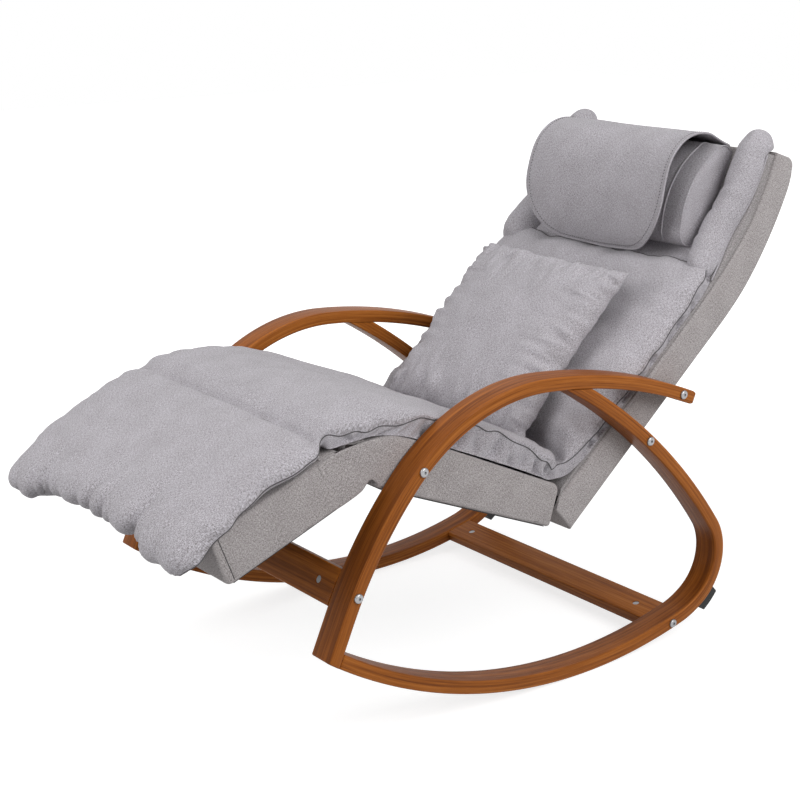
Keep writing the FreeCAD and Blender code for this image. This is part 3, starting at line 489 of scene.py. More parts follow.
def pair(front, back, shared=False):
    """A closed piece between two grids; shared says that their side edges are one."""
    nu, nv = front.shape[:2]
    inner = back[:, 1:-1] if shared else back
    verts = np.concatenate([front.reshape(-1, 3), inner.reshape(-1, 3)])
    u = arc_length(front, 0)[:, nv // 2]
    v = arc_length(front, 1)[nu // 2]
    v_low = arc_length(back, 1)[nu // 2]

    def high(i, j):
        return i * nv + j

    def low(i, j):
        if not shared:
            return nu * nv + high(i, j)
        return high(i, j) if j in (0, nv - 1) else nu * nv + i * (nv - 2) + j - 1

    faces, uvs = [], []
    for i in range(nu - 1):
        for j in range(nv - 1):
            ring = [(i, j), (i, j + 1), (i + 1, j + 1), (i + 1, j)]
            faces.append([high(*c) for c in ring])
            uvs += [(u[a], v[b]) for a, b in ring]
            ring = [ring[0], *ring[:0:-1]]
            faces.append([low(*c) for c in ring])
            uvs += [(u[a], v_low[b]) for a, b in ring]
    rims = [(i, j, i, j + 1) for i in (0, nu - 1) for j in range(nv - 1)]
    if not shared:
        rims += [(i, j, i + 1, j) for j in (0, nv - 1) for i in range(nu - 1)]
    for i, j, k, w in rims:
        ring = [high(i, j), low(i, j), low(k, w), high(k, w)]
        marks = [(u[i], v[j]), (u[i] + 4, v[j] + 4), (u[k] + 4, v[w] + 4), (u[k], v[w])]
        kept = [m for m in range(4) if ring[m] not in ring[:m]]
        faces.append([ring[m] for m in kept])
        uvs += [marks[m] for m in kept]
    return verts, faces, uvs


def bell(k):
    return np.exp(-(k**2))


def eased(k):
    k = np.clip(k, 0.0, 1.0)
    return k * k * (3 - 2 * k)


def edge_fall(v, power, root):
    """A height of one that falls to zero at the edges."""
    return np.power(np.clip(1 - np.abs(v) ** power, 0, 1), 1 / root)


def rounded(points, steps=8):
    """Closed outline through corners (a, n) or (a, n, radius)."""
    made = []
    for i, (a, n, *radius) in enumerate(points):
        here = complex(a, n)
        if not radius:
            made.append(here)
            continue
        before = complex(*points[i - 1][:2]) - here
        after = complex(*points[(i + 1) % len(points)][:2]) - here
        before, after = before / abs(before), after / abs(after)
        half = abs(np.angle(after / before)) / 2
        centre = here + (before + after) / abs(before + after) * radius[0] / math.sin(half)
        start = here + before * radius[0] / math.tan(half) - centre
        end = here + after * radius[0] / math.tan(half) - centre
        made += list(centre + start * np.exp(1j * np.angle(end / start) * np.linspace(0, 1, steps + 1)))
    return np.stack([np.real(made), np.imag(made)], 1)


def refined(outline, step):
    """The same outline with points close together."""
    made = []
    for a, b in zip(outline, np.roll(outline, -1, 0)):
        count = max(1, int(np.linalg.norm(b - a) / step))
        for k in range(count):
            made.append(a + (b - a) * k / count)
    return np.array(made)


def inset(outline, amount):
    """An outline moved inwards."""
    ahead = unit(np.roll(outline, -1, 0) - outline)
    both = ahead + np.roll(ahead, 1, 0)
    left = unit(np.stack([-both[:, 1], both[:, 0]], 1))
    after = np.roll(outline, -1, 0)
    area = np.sum(outline[:, 0] * after[:, 1] - after[:, 0] * outline[:, 1])
    return outline + left * amount * (1 if area > 0 else -1)


def soft_prism(name, outline, half, ease, finish):
    """A solid across the chair with eased rims."""
    rings = []
    turns = np.linspace(0, math.pi / 2, 5)
    for sign in (-1, 1):
        part = [(sign * (half - ease * (1 - math.sin(a))), ease * (1 - math.cos(a))) for a in turns]
        rings += part if sign > 0 else part[::-1]
    run = run_of(np.concatenate([outline, outline[:1]]))
    flats = [inset(outline, amount) for _, amount in rings]
    verts = [(x, y, z) for (x, _), flat in zip(rings, flats) for y, z in flat]

    def quad(i, j):
        a, b = rings[i][0] - rings[i][1], rings[i + 1][0] + rings[i + 1][1]
        return [(run[j], a), (run[j], b), (run[j + 1], b), (run[j + 1], a)]

    def cap(i):
        return [tuple(p) for p in flats[i]]

    return shape(name, (verts, *loft(len(rings), len(outline), quad, cap)), finish)


def cut(o, *tools):
    for tool in tools:
        m = o.modifiers.new("cut", "BOOLEAN")
        m.operation = "DIFFERENCE"
        m.solver = "EXACT"
        m.object = tool
    apply_modifiers(o)
    for tool in tools:
        bpy.data.objects.remove(tool)
    return o


def creased(o, angle=35.0):
    """Smooth shading that keeps edges sharper than the angle."""
    o.data.shade_smooth()
    bm = bmesh.new()
    bm.from_mesh(o.data)
    for e in bm.edges:
        if len(e.link_faces) == 2:
            e.smooth = e.calc_face_angle(0.0) < math.radians(angle)
    bm.to_mesh(o.data)
    bm.free()
    return o


# Bentwood strips with eased edges
EASE, END_EASE = 3.2, 1.1
STRIP_STEPS, ARM_TIP = 260, 9.0
ARM_GRAIN, ROCKER_GRAIN = 900.0, 2700.0


def strip_ring(shrink):
    """Section of a strip: corners (x, n) rounded by the easing."""
    low, high, t = INNER_X + shrink, OUTER_X - shrink, HALF_STRIP - shrink
    return rounded([(low, -t, EASE), (high, -t, EASE), (high, t, EASE), (low, t, EASE)], 4)


def first_crossing(path, n, distances, measure):
    """Distance at which measure(y, z) falls to zero."""
    value = measure(*along(path, distances, n))
    i = int(np.argmax(value <= 0))
    a, b = value[i - 1], value[i]
    return distances[i - 1] + (distances[i] - distances[i - 1]) * a / (a - b)


def over_arm(y, z):
    """How far a point is below the arm strip's lower face."""
    d2 = (arm_path[1][:, None] - y[None]) ** 2 + (arm_path[2][:, None] - z[None]) ** 2
    i = np.argmin(d2, 0)
    h = arm_path[3][i]
    n = -(y - arm_path[1][i]) * np.sin(h) + (z - arm_path[2][i]) * np.cos(h)
    return -n - HALF_STRIP


def over_floor(y, z):
    """How far a point is outside the circle that the rockers roll on."""
    return np.hypot(y - CONTACT_Y, z - ROCKER_R) - ROCKER_R


def arm_start(n):
    return first_crossing(arm_path, n, np.arange(0.0, 140.0, 0.5), over_floor)


def arm_end(n):
    return arm_path[0][-1] - ARM_TIP + math.sqrt(ARM_TIP**2 - max(abs(n) - 3.0, 0.0) ** 2)


def rocker_start(n):
    return first_crossing(rocker_path, n, np.arange(0.0, 60.0, 0.5), lambda y, z: -over_arm(y, z))


def rocker_end(n):
    far = rocker_path[0][-1] - np.arange(160.0, -20.0, -0.5)
    return first_crossing(rocker_path, n, far, over_arm)


def strip(node, path, start, end, side, shift):
    full, small = strip_ring(0.0), strip_ring(END_EASE)
    levels = sorted(set(np.round(np.concatenate([full[:, 1], small[:, 1]]), 4)))
    starts = {n: start(n) for n in levels}
    ends = {n: end(n) for n in levels}
    rings = [(small, 0.0, 0.0), (full, 0.0, END_EASE)]
    rings += [(full, i / STRIP_STEPS, 0.0) for i in range(1, STRIP_STEPS)]
    rings += [(full, 1.0, -END_EASE), (small, 1.0, 0.0)]
    verts, grain = [], []
    for ring, part, more in rings:
        for x, n in ring:
            n = round(n, 4)
            d = starts[n] + (ends[n] - starts[n]) * part + more
            y, z = along(path, d, n)
            verts.append((side * x, float(y), float(z)))
            grain.append((d + shift, x + shift, n + shift))
    faces, _ = loft(len(rings), len(full), lambda i, j: [], lambda i: [])
    o = shape(node.replace("strip", "bentwood"), (verts, faces, None), teak, grain)
    return creased(finish_piece(o, "chair", "wood", node), 50.0)


for side, word in ((1, "left"), (-1, "right")):
    strip(word + "_arm_strip", arm_path, arm_start, arm_end, side, ARM_GRAIN * side)
    strip(word + "_rocker_strip", rocker_path, rocker_start, rocker_end, side, ROCKER_GRAIN * side)


def softened(name, node, finish, chosen, offset, segments):
    """The node's solid as a new piece, with the chosen edges rounded."""
    bm = bmesh.new()
    bm.from_mesh(nodes[node].data)
    bmesh.ops.remove_doubles(bm, verts=bm.verts, dist=1e-6)
    bmesh.ops.dissolve_limit(bm, angle_limit=0.01, verts=bm.verts, edges=bm.edges)
    geom = [e for e in bm.edges if chosen(e)]
    bmesh.ops.bevel(bm, geom=geom, offset=offset, segments=segments, profile=0.5, affect="EDGES")
    mesh = bpy.data.meshes.new(name)
    bm.to_mesh(mesh)
    bm.free()
    mesh.materials.append(finish)
    return creased(linked(name, mesh))


def long_edge(e):
    return e.calc_length() > 0.4 and e.calc_face_angle(0.0) > 1.0


def eased_rail(name, tilt, shift):
    """The rail with its four long edges eased, grain across the chair."""
    o = softened(name + "_bar", name, teak, long_edge, 0.0025, 4)
    co = np.array([v.co for v in o.data.vertices])
    c, s = math.cos(math.radians(tilt)), math.sin(math.radians(tilt))
    turned = [co[:, 0], co[:, 1] * c + co[:, 2] * s, co[:, 2] * c - co[:, 1] * s]
    set_grain(o.data, np.stack(turned, 1) + shift)
    finish_piece(o, "chair", "wood", name)


eased_rail("front_rail", 63.3, 4.1)
eased_rail("rear_rail", 12.6, 5.7)

# Upholstered boxes
OUTLINE_STEP, ROOM_STEP = 14.0, 60.0


def outline_in(spot, points, step):
    flat = refined(rounded(points), step)
    return np.stack(spot(flat[:, 0], flat[:, 1]), 1)


SEAT_HALF, LEG_HALF, BOX_EASE, ROOM_EASE, COVER_T = 279.0, 277.0, 5.0, 0.5, 6.0


def room(name, outline, half):
    """A tool that hollows a box."""
    return soft_prism(name, outline, half, ROOM_EASE, linen_shell)


seat_corners = [
    (28, -23, 10), (438, -17, 6), (430, 58, 16), (150, 67, 200), (28, 66, 60), (-50, 26, 6), (28, 30, 6),
]
seat_hollow = [(34, -60), (430, -60), (422, 49), (150, 58), (60, 56), (36, 26)]
leg_corners = [(-287, -31, 14), (-31, -31, 22), (-31, 58, 14), (-283, 58, 18)]
leg_hollow = [(-281, -60), (-37, -60), (-37, 52), (-277, 52)]
for word, body, spot, corners, hollow, half in (
    ("seat", "chair", in_seat, seat_corners, seat_hollow, SEAT_HALF),
    ("legrest", "legrest", in_leg, leg_corners, leg_hollow, LEG_HALF),
):
    outline = outline_in(spot, corners, OUTLINE_STEP)
    box = soft_prism(word + "_box_cover", outline, half, BOX_EASE, linen_shell)
    cut(box, room(word + "_room", outline_in(spot, hollow, ROOM_STEP), half - COVER_T))
    creased(finish_piece(box, body, "cover_fabric", word + "_shell"))
BOX_SEAM_S, BOX_SEAM_N, BOX_THREAD = -270.0, np.linspace(51.0, -25.0, 12), 0.7
seam_y, seam_z = in_leg(BOX_SEAM_S, BOX_SEAM_N)
leg_seams = [
    tube(np.stack([0 * seam_y + s * (LEG_HALF + 0.1), seam_y, seam_z], 1), BOX_THREAD) for s in (1, -1)
]
finish_piece(shape("legrest_box_seams", merged(*leg_seams), thread_and_seam_shade), "legrest", "cover_fabric")


def slab(t):
    """Level of the front edge of the back's cover, lower towards the head."""
    return 69.0 - 13.0 * eased((np.asarray(t, float) - 480.0) / 240.0)


def back_outline(start, end, low, high, corner):
    """Outline between two distances and two levels of the back, its rear upper corner rounded."""
    rear = [(t, low(t)) for t in np.arange(start, end - corner, OUTLINE_STEP)]
    turns = np.linspace(0, 1.5708, 10)
    turn = [(end - corner * (1 - math.sin(a)), low(end) + corner * (1 - math.cos(a))) for a in turns]
    front = [(t, high(t)) for t in np.arange(end - 1, start, -OUTLINE_STEP)] + [(start, high(start))]
    flat = np.array(rear + turn + front)
    return np.stack(in_back(flat[:, 0], flat[:, 1]), 1)


def level(n):
    return lambda t: n


def rear_full(t):
    """The rear cloth stands a little proud behind the head."""
    return -6.0 * float(eased((t - 430.0) / 160.0) * (1 - eased((t - 770.0) / 55.0)))


def seat_space():
    """The room that the seat box takes from the back."""
    corners = [(250, -150), (440, -150), (440, 86), (250, 86)]
    return room("seat_space", outline_in(in_seat, corners, ROOM_STEP), 300.0)


back_line = back_outline(0, BACK_LENGTH, rear_full, slab, 20)
back_box = soft_prism("back_box_cover", back_line, SEAT_HALF, 6.0, linen_shell)
back_hollow = back_outline(COVER_T, BACK_LENGTH - COVER_T, level(6), level(90), 15)
cut(back_box, room("back_room", back_hollow, SEAT_HALF - COVER_T), seat_space())
creased(finish_piece(back_box, "chair", "cover_fabric", "back_shell"))

PANEL_HALF, WINDOW_HALF = 275.0, 150.0
panel_line = back_outline(14, BACK_LENGTH - 8, lambda t: slab(t) + 0.4, level(76), 2)
# The panel is drawn in the darker cloth as painted shade of its recess
panel = soft_prism("back_panel_cover", panel_line, PANEL_HALF, 2.5, linen_painted_shade)
window = outline_in(in_back, [(60, 40), (440, 40), (440, 110), (60, 110)], 20.0)
cut(panel, room("window", window, WINDOW_HALF), seat_space())
creased(finish_piece(panel, "chair", "cover_fabric", "back_panel"))

# Knee sides: cloth that closes the gap between the two boxes
knee_rows = [
    (*in_leg(-75, -29.5), *in_leg(-75, 56)),
    (*in_leg(-45, -29.5), *in_leg(-45, 56)),
    (*in_leg(-18, -28), *in_seat(-50, 25)),
    (*in_leg(2, -20), *in_seat(-12, 46)),
    (*in_seat(40, -19), *in_seat(35, 60)),
    (*in_seat(75, -19), *in_seat(75, 63)),
]
KNEE_U, KNEE_V = 44, 26
knee_line, _ = spline(knee_rows, KNEE_U)
up = np.linspace(0, 1, KNEE_V)[None, :]
knee_y = knee_line[:, 0:1] + (knee_line[:, 2:3] - knee_line[:, 0:1]) * up
knee_z = knee_line[:, 1:2] + (knee_line[:, 3:4] - knee_line[:, 1:2]) * up
knee_x = np.linspace(LEG_HALF + 0.4, SEAT_HALF + 0.4, KNEE_U)[:, None] + 0 * up
knee_flat = np.stack([knee_x, knee_y, knee_z], 2)
knee_end = np.minimum(np.arange(KNEE_U), np.arange(KNEE_U)[::-1])[:, None]
knee_out = knee_x + np.clip(0.3 + rumple(knee_flat, 34.0, 1.2, 61.0), -0.1, 0.6)
knee_out -= 1 - eased(knee_end / 7.0)
knee_patches = []
for side in (1, -1):
    outer = np.stack([side * knee_out, knee_y, knee_z], 2)
    inner = np.stack([side * (knee_x - 1.2), knee_y, knee_z], 2)
    knee_patches.append(pair(outer, inner))
knee = shape("knee_sides", merged(*knee_patches), linen_shell)

# Knee pleat: cloth across the top of the same gap, with a fold in it
pleat_rows = [
    in_leg(-66, 58.9),
    in_leg(-46, 59.0),
    in_leg(-34, 56.0),
    in_leg(-27, 44.0),
    in_leg(-24.5, 36.0),
    in_leg(-22, 44.0),
    in_seat(-51, 29.5),
    in_seat(-38, 33.6),
    in_seat(-16, 44.6),
]
PLEAT_HALF, PLEAT_U, PLEAT_V = 274.0, 60, 24
pleat_line, _ = spline(pleat_rows, PLEAT_U)
pleat_top = np.zeros((PLEAT_U, PLEAT_V, 3))
pleat_top[..., 0] = np.linspace(-PLEAT_HALF, PLEAT_HALF, PLEAT_V)
pleat_top[..., 1:] = pleat_line[:, None, :]
pleat = shape("knee_pleat", pair(pleat_top, pleat_top - 0.6 * out_of(pleat_top)), linen_shell)

# Seat mat: leg, seat and back sections in one long cushion
LEG_EDGE, SEAT_EDGE, BACK_EDGE = (5.0, 2.3, 0.0), (7.0, 2.6, 1.0), (4.0, 2.2, 1.0)


def rows_in(spot, edge, rows):
    """Control rows from a frame: top, bottom and seam, each (a, n), half width, and how the edges fall."""
    return [[*spot(r[0], r[1]), *spot(r[2], r[3]), *spot(r[4], r[5]), r[6], *edge] for r in rows]


leg_rows = rows_in(in_leg, LEG_EDGE, [
    (-312, 8, -309, 8, -324, 20, 206),
    (-333, 17, -303, 10, -331, 25, 246),
    (-345, 36, -297, 17, -334, 31, 270),
    (-343, 58, -293, 28, -327, 38, 284),
    (-327, 77, -290, 42, -311, 42, 291),
    (-290, 93, -287, 57, -272, 59, 291),
    (-217, 104, -217, 59.5, -217, 72, 289),
    (-150, 109, -150, 59.5, -150, 78, 289),
    (-104, 108, -100, 59.5, -100, 78, 291),
    (-76, 101, -72, 61, -76, 80, 290),
    (-60, 98, -56, 68, -62, 80, 277),
])
seat_rows = rows_in(in_seat, SEAT_EDGE, [
    (-82, 62, -78, 17, -86, 35, 273),
    (-44, 83, -44, 37, -46, 50, 280),
    (6, 103, -6, 55, 6, 71, 280),
    (58, 114, 45, 66, 62, 93, 279),
    (118, 119, 110, 68.5, 104, 107, 278),
    (182, 121, 180, 68.5, 182, 112, 278),
    (270, 121, 268, 67, 268, 113, 278),
    (340, 121, 335, 65, 335, 101, 278),
    (385, 120, 378, 63, 376, 91, 278),
    (414, 115, 402, 62, 398, 84, 277),
    (426, 104, 416, 66, 406, 82, 274),
])
back_rows = rows_in(in_back, BACK_EDGE, [
    (106, 106, 62, 84, 70, 106, 274),
    (132, 120, 105, 77.5, 108, 93, 277),
    (175, 125, 160, 77.3, 150, 90, 278),
    (240, 126, 230, 77.3, 225, 88, 277),
    (310, 125, 305, 77.3, 305, 87, 276),
    (380, 124, 378, 77.3, 378, 87, 275),
    (440, 124, 440, 77.3, 440, 89, 274),
    (490, 123, 490, 77.3, 490, 93, 274),
    (528, 114, 528, 77.5, 528, 92, 270),
    (549, 98, 549, 79, 549, 87, 256),
    (556, 87, 556, 79.5, 556, 82, 250),
    (568, 84, 568, 79.5, 568, 81.5, 240),
    (604, 83, 604, 79.5, 604, 81.2, 226),
])
MAT_U, MAT_V, MAT_THREAD = 330, 140, 0.9
mat_line, marks = spline(leg_rows + seat_rows + back_rows, MAT_U)
mat_q = np.linspace(-1, 1, MAT_V)[None, :]
mat_v = np.sin(mat_q * math.pi / 2)
half = mat_line[:, 6:7]
boxed = mat_line[:, 9:10]
from_side = half * (1 - np.abs(mat_v))
mat_high = edge_fall(mat_v, mat_line[:, 7:8], mat_line[:, 8:9])
top_x = half * mat_v - np.sign(mat_v) * 3.0 * boxed * np.exp(-from_side / 1.6)
# Under the seam: a wall with a flat bottom where the section is boxed, a pillow edge where it is not
WALL = 0.26
wall_up = np.clip((1 - np.abs(mat_q)) / WALL, 0, 1)
box_x = np.sign(mat_q) * half * np.where(np.abs(mat_q) > 1 - WALL, 1.0, 0.985 * np.abs(mat_q) / (1 - WALL))
box_fall = np.power(1 - (1 - wall_up) ** 1.6, 0.8)
mat_low = (1 - boxed) * edge_fall(mat_v, 5.0, 2.3) + boxed * box_fall


def mat_grid(x, k, rise):
    y = mat_line[:, 4:5] + (mat_line[:, k : k + 1] - mat_line[:, 4:5]) * rise
    z = mat_line[:, 5:6] + (mat_line[:, k + 1 : k + 2] - mat_line[:, 5:6]) * rise
    return np.stack([x, y, z], 2)


mat_top = mat_grid(top_x, 0, mat_high)
mat_run = arc_length(mat_top, 0)[:, MAT_V // 2]
# Distances along the mat of its cross seam, the crease below the head and the foot of the back
at_marks = (marks[len(leg_rows) - 1] + 0.5, marks[-3], marks[len(leg_rows) + len(seat_rows)])
cross_seam, crease, back_start = np.interp(at_marks, np.arange(MAT_U), mat_run)
mat_run = mat_run[:, None] + 0 * mat_v
on_back = eased((mat_run - back_start) / 60.0)


def dent(aside, length, width, reach):
    """A soft hollow of the mat with its middle at a place across and along it."""
    return bell((top_x - aside) / width) * bell((mat_run - length) / reach)


# Crumpled boxing, fuller towards the back
crush = folds(mat_run + 9.0 * wall_up, 0 * mat_run + 14.0, 15.0, 60.0, 20.0, 23.0)
crush *= 0.45 + eased((mat_run - back_start + 260.0) / 120.0)
# Pinched folds of the boxing: place along the mat, depth and slant
PINCHES = [
    (450, 8, 14), (528, 10, -18), (610, 9, 12), (676, 13, -16), (716, 9, 8), (764, 15, -14), (801, 12, 16),
    (838, 16, -8), (874, 12, 18), (906, 15, -12), (1015, 12, 14), (1052, 14, -10), (1108, 10, 16),
]
for at, depth, slant in PINCHES:
    crush += depth * bell((mat_run - at - slant * (wall_up - 0.5)) / 6.0)
pinch = np.sin(math.pi * wall_up) ** 0.7 * np.clip(2.5 + crush, 0.0, 19.0)
pinch += 3.0 * np.exp(-wall_up / 0.09) * (wall_up < 1)
wall_x = box_x - np.sign(mat_q) * boxed * pinch
mat_bottom = mat_grid((1 - boxed) * half * mat_v + boxed * wall_x, 2, mat_low)
lift = rumple(mat_top, 130.0, 5.0, 3.0) + rumple(mat_top, 46.0, 2.0, 9.0) * (1 + on_back)
# Gathers of the front hem: place across, depth, width and reach
GATHERS = [
    (-186, 10, 7, 85), (-168, 14, 7, 100), (-150, 12, 7, 90), (-112, 5, 10, 70), (-50, 10, 9, 90),
    (-10, 16, 9, 115), (32, 15, 9, 110), (60, 7, 8, 80), (126, 20, 11, 130), (152, 10, 8, 90),
    (212, 5, 12, 60), (-232, 6, 10, 60),
]
hem_in = eased(mat_run / 20.0)
for at, depth, width, reach in GATHERS:
    lift -= 1.4 * depth * bell((top_x - at - 0.1 * mat_run) / width) * bell(mat_run / reach) * hem_in
# Folds at the hem, the cross seam, the sides and the crease: size, reach, amount and seed
lift += folds(top_x, mat_run, 30.0, 60.0, 7.0, 1.0) * hem_in
lift += folds(top_x, np.abs(mat_run - cross_seam), 30.0, 34.0, 6.0, 5.0)
lift += folds(mat_run, from_side, 24.0, 30.0, 6.0, 8.0) * (1 + on_back)
lift += folds(top_x, np.maximum(crease - mat_run, 0), 42.0, 40.0, 5.0, 33.0)
# The cross seam, softer at its far end, the crease and the foot of the back are drawn in
far_end = eased(-top_x / 120.0 - 1.0)
lift -= 9.0 * np.exp(-np.abs(mat_run - cross_seam) / 5.0) * (1 - 0.7 * far_end)
lift -= 3.0 * np.exp(-np.abs(mat_run - crease) / 4.0)
lift -= 16.0 * bell((mat_run - back_start + 16.0) / 14.0)
# Pressed in under the hem of the head flap
under_flap = eased((190.0 - np.abs(top_x + 9.0)) / 40.0)
lift -= 5.0 * bell((mat_run - crease + 26.0) / 24.0) * under_flap
# Swellings and hollows beside the lumbar pillow: height, place across and up the back, width and reach
for height, aside, on, width, reach in (
    (10.0, 250, 38, 34, 26),
    (-30.0, 222, 106, 30, 28),
    (12.0, 246, 165, 30, 40),
    (-8.0, 262, 100, 14, 16),
    (-6.0, 236, -40, 10, 60),
):
    for side in (-1, 1):
        lift += height * dent(side * aside, back_start + on, width, reach)
# A fine crease where the leg section's edge is sewn double
lift -= 2.2 * bell((from_side - 11.0) / 2.4) * (1 - boxed)
lift *= edge_fall(mat_v, 16.0, 1.0)
mat_top = mat_top + out_of(mat_top) * lift[..., None]
# The hem is drawn up between its two full corners
LEG_UP = np.array([-math.sin(math.radians(LEG_TILT)), math.cos(math.radians(LEG_TILT))])
LEG_OUT = np.array([-LEG_UP[1], LEG_UP[0]])
# Waves of the leg section's edges and of the boxed seam
sway = 4.0 * np.sin(mat_run / 24.0 + 0.8) + 2.5 * np.sin(mat_run / 11.0)
bob = 2.6 * np.sin(mat_run / 10.0 + 1.3 * np.sin(mat_run / 37.0))
near_top = np.exp(-from_side / 16.0)
for grid, near_seam in ((mat_top, near_top), (mat_bottom, np.where(boxed > 0.5, 1 - wall_up, near_top))):
    x = grid[..., 0]
    drawn = eased((x + 215.0) / 100.0) * eased((182.0 - x) / 64.0)
    fade = 1 - eased(mat_run / 150.0)
    up = (15.0 + 7.0 * eased((x + 150.0) / 110.0)) * drawn + 9.0 * (1 - drawn) * eased(-x / 80.0)
    out = np.where(x > 0, 10.0, 30.0) * (1 - drawn) - 6.0 * drawn
    grid[..., 1:] += (up[..., None] * LEG_UP + out[..., None] * LEG_OUT) * fade[..., None]
    grid[..., 0] += np.sign(mat_q) * sway * near_seam * (1 - boxed) * eased(mat_run / 60.0)
    grid[..., 0] -= 10.0 * far_end * bell((mat_run - cross_seam) / 32.0)
    grid[..., 2] += bob * near_seam * boxed
# Thread along both side seams and beside the crease: real seams, drawn dark as painted shade of their
# grooves
seam_lines = [mat_top[4:-4, j] + (s * 0.3, 0, 0) for j, s in ((0, -1), (MAT_V - 1, 1))]
seam_lines.append(mat_top[int(round(marks[-3])) - 2, 22:-22] + (0, -0.3, 0.3))
mat_seams = merged(*[tube(line, MAT_THREAD) for line in seam_lines])
mat = shape("long_mat", pair(mat_top, mat_bottom, True), linen, sewn=mat_seams)

# Lumbar pillow
SWELL_FRAMES, SWELL_PRESSURE, SWELL_CAP = 20, 4.0, 14.0
SWELL_CLOTH = {
    "quality": 5,
    "mass": 0.3,
    "tension_stiffness": 15,
    "compression_stiffness": 15,
    "shear_stiffness": 5,
    "bending_stiffness": 0.4,
    "use_pressure": True,
    "uniform_pressure_force": SWELL_PRESSURE,
}


def inflate(o):
    """Swells a closed piece with Blender's cloth, each point by at most the cap, and smooths the result."""
    start = np.array([v.co for v in o.data.vertices])
    m = o.modifiers.new("cloth", "CLOTH")
    for key, value in SWELL_CLOTH.items():
        setattr(m.settings, key, value)
    m.settings.effector_weights.gravity = 0.0
    m.collision_settings.use_collision = False
    m.point_cache.frame_start = 1
    m.point_cache.frame_end = SWELL_FRAMES
    for at in range(1, SWELL_FRAMES + 1):
        scene.frame_set(at)
    apply_modifiers(o)
    move = np.array([v.co for v in o.data.vertices]) - start
    far = np.linalg.norm(move, axis=1)
    move *= (np.minimum(far, SWELL_CAP * MM) / np.maximum(far, 1e-9))[:, None]
    o.data.vertices.foreach_set("co", (start + move).ravel())
    scene.frame_set(1)
    m = o.modifiers.new("smooth", "SUBSURF")
    m.levels = 1
    m.render_levels = 1
    return apply_modifiers(o)


LUMBAR_W, LUMBAR_H, LUMBAR_S, LUMBAR_N = 191.0, 184.0, 250.0, 162.0
LUMBAR_STEPS = 70
across = np.linspace(-1, 1, LUMBAR_STEPS)
across = 0.5 * across + 0.5 * np.sin(across * math.pi / 2)
gu, gv = np.meshgrid(across, across, indexing="ij")
corner = 9.0 * np.clip(-gu, 0, 1) * np.clip(gv, 0, 1)
pillow_x = gv * (LUMBAR_W - np.where(gv < 0, 11.0, 8.0) * (1 - gu**2) + corner)
pillow_s = gu * (LUMBAR_H - np.where(gu > 0, 10.0, 0.0) * (1 - gv**2))
near_edge = np.minimum(LUMBAR_W * (1 - np.abs(gv)), LUMBAR_H * (1 - np.abs(gu)))
beside = LUMBAR_W - np.abs(pillow_x) < LUMBAR_H - np.abs(pillow_s)
edge_run = np.where(beside, pillow_s, pillow_x + 700.0)
waver = folds(edge_run, 0 * gu + 10.0, 22.0, 60.0, 9.0, 71.0) * np.exp(-near_edge / 24.0)
pillow_x = pillow_x - waver * np.where(beside, np.sign(gv), 0)
pillow_s = pillow_s - waver * np.where(beside, 0, np.sign(gu)) * (gu > 0)
full = np.power((1 - np.abs(gu) ** 3.0) * (1 - np.abs(gv) ** 3.0), 0.5)
lumbar_grids = []
for depth, seed in ((54.0, 41.0), (-28.0, 45.0)):
    flat = np.stack([pillow_x, pillow_s, 0 * pillow_x], 2)
    wave = rumple(flat, 80.0, 6.0, seed) * full
    wave += folds(edge_run, near_edge, 14.0, 40.0, 24.0, seed) * (full > 0)
    rise = np.maximum(abs(depth) * full + (wave if depth > 0 else 0.3 * wave), 0.0)
    y, z = in_lumbar(LUMBAR_S + pillow_s, LUMBAR_N + 14.0 * gu + np.sign(depth) * rise)
    lumbar_grids.append(np.stack([pillow_x, y, z], 2))
lumbar = inflate(shape("lumbar_pad", pair(*lumbar_grids, True), linen))

# Rolls beside the head
ROLL_R, ROLL_WELT, ROLL_T, ROLL_A = 33.0, 1.6, 84, 44
ROLL_WELT_FROM, ROLL_BEND, ROLL_TOP = 528.0, 812.0, 860.0


def roll(name, side, seed, ends, line, full):
    """A roll between two distances along the back: line is its place across, full is how its foot swells."""
    part = np.sin(np.linspace(-math.pi / 2, math.pi / 2, ROLL_T))
    t = (ends[0] + ends[1]) / 2 + (ends[1] - ends[0]) / 2 * part
    turn = np.linspace(0, 2 * math.pi, ROLL_A, endpoint=False)
    tt, aa = np.meshgrid(t, turn, indexing="ij")
    fall = np.power(np.clip(1 - np.abs(part) ** 9, 0, 1), 0.5)[:, None]
    over = eased((tt - ROLL_BEND) / 22.0)
    tip = np.minimum(tt - t[0], t[-1] - tt)
    rim = np.stack([30 * np.cos(aa), 30 * np.sin(aa), tt], 2)
    swell = rumple(rim, 30.0, 1.8, seed) + folds(aa * ROLL_R, tip, 11.0, 26.0, 6.0, seed)
    swell += folds(tt, 0 * tt + 18.0, 22.0, 60.0, 3.0, seed + 3)
    for at, depth in ((606.0, 4.0), (668.0, 5.0), (722.0, 3.5)):
        swell -= depth * bell((tt - at - 9 * np.sin(aa)) / 6.0) * (0.4 - 0.6 * np.cos(aa))
    swell += full * (1 - eased((tt - 540.0) / 130.0))
    height = np.where(np.sin(aa) > 0, 35.0 + swell, 0.4 + 32.0 * over)
    n = 77.0 - 5.0 * over + height * np.sin(aa) * fall
    x = line(tt) + (ROLL_R + 0.6 * swell) * np.cos(aa) * fall
    verts = np.stack([side * x, *in_back(tt, n)], 2).reshape(-1, 3)
    patch = (verts, *loft(ROLL_T, ROLL_A, lengthwise(t, 4.7), lambda i: [(0.0, 0.0)] * ROLL_A))
    d = np.linspace(ROLL_WELT_FROM, ROLL_BEND, 90)
    x = line(d) + ROLL_R + 0.2
    welt = tube(np.stack([side * x, *in_back(d, 0 * d + 78.2)], 1), ROLL_WELT)
    return shape(name, merged(patch, welt), linen)


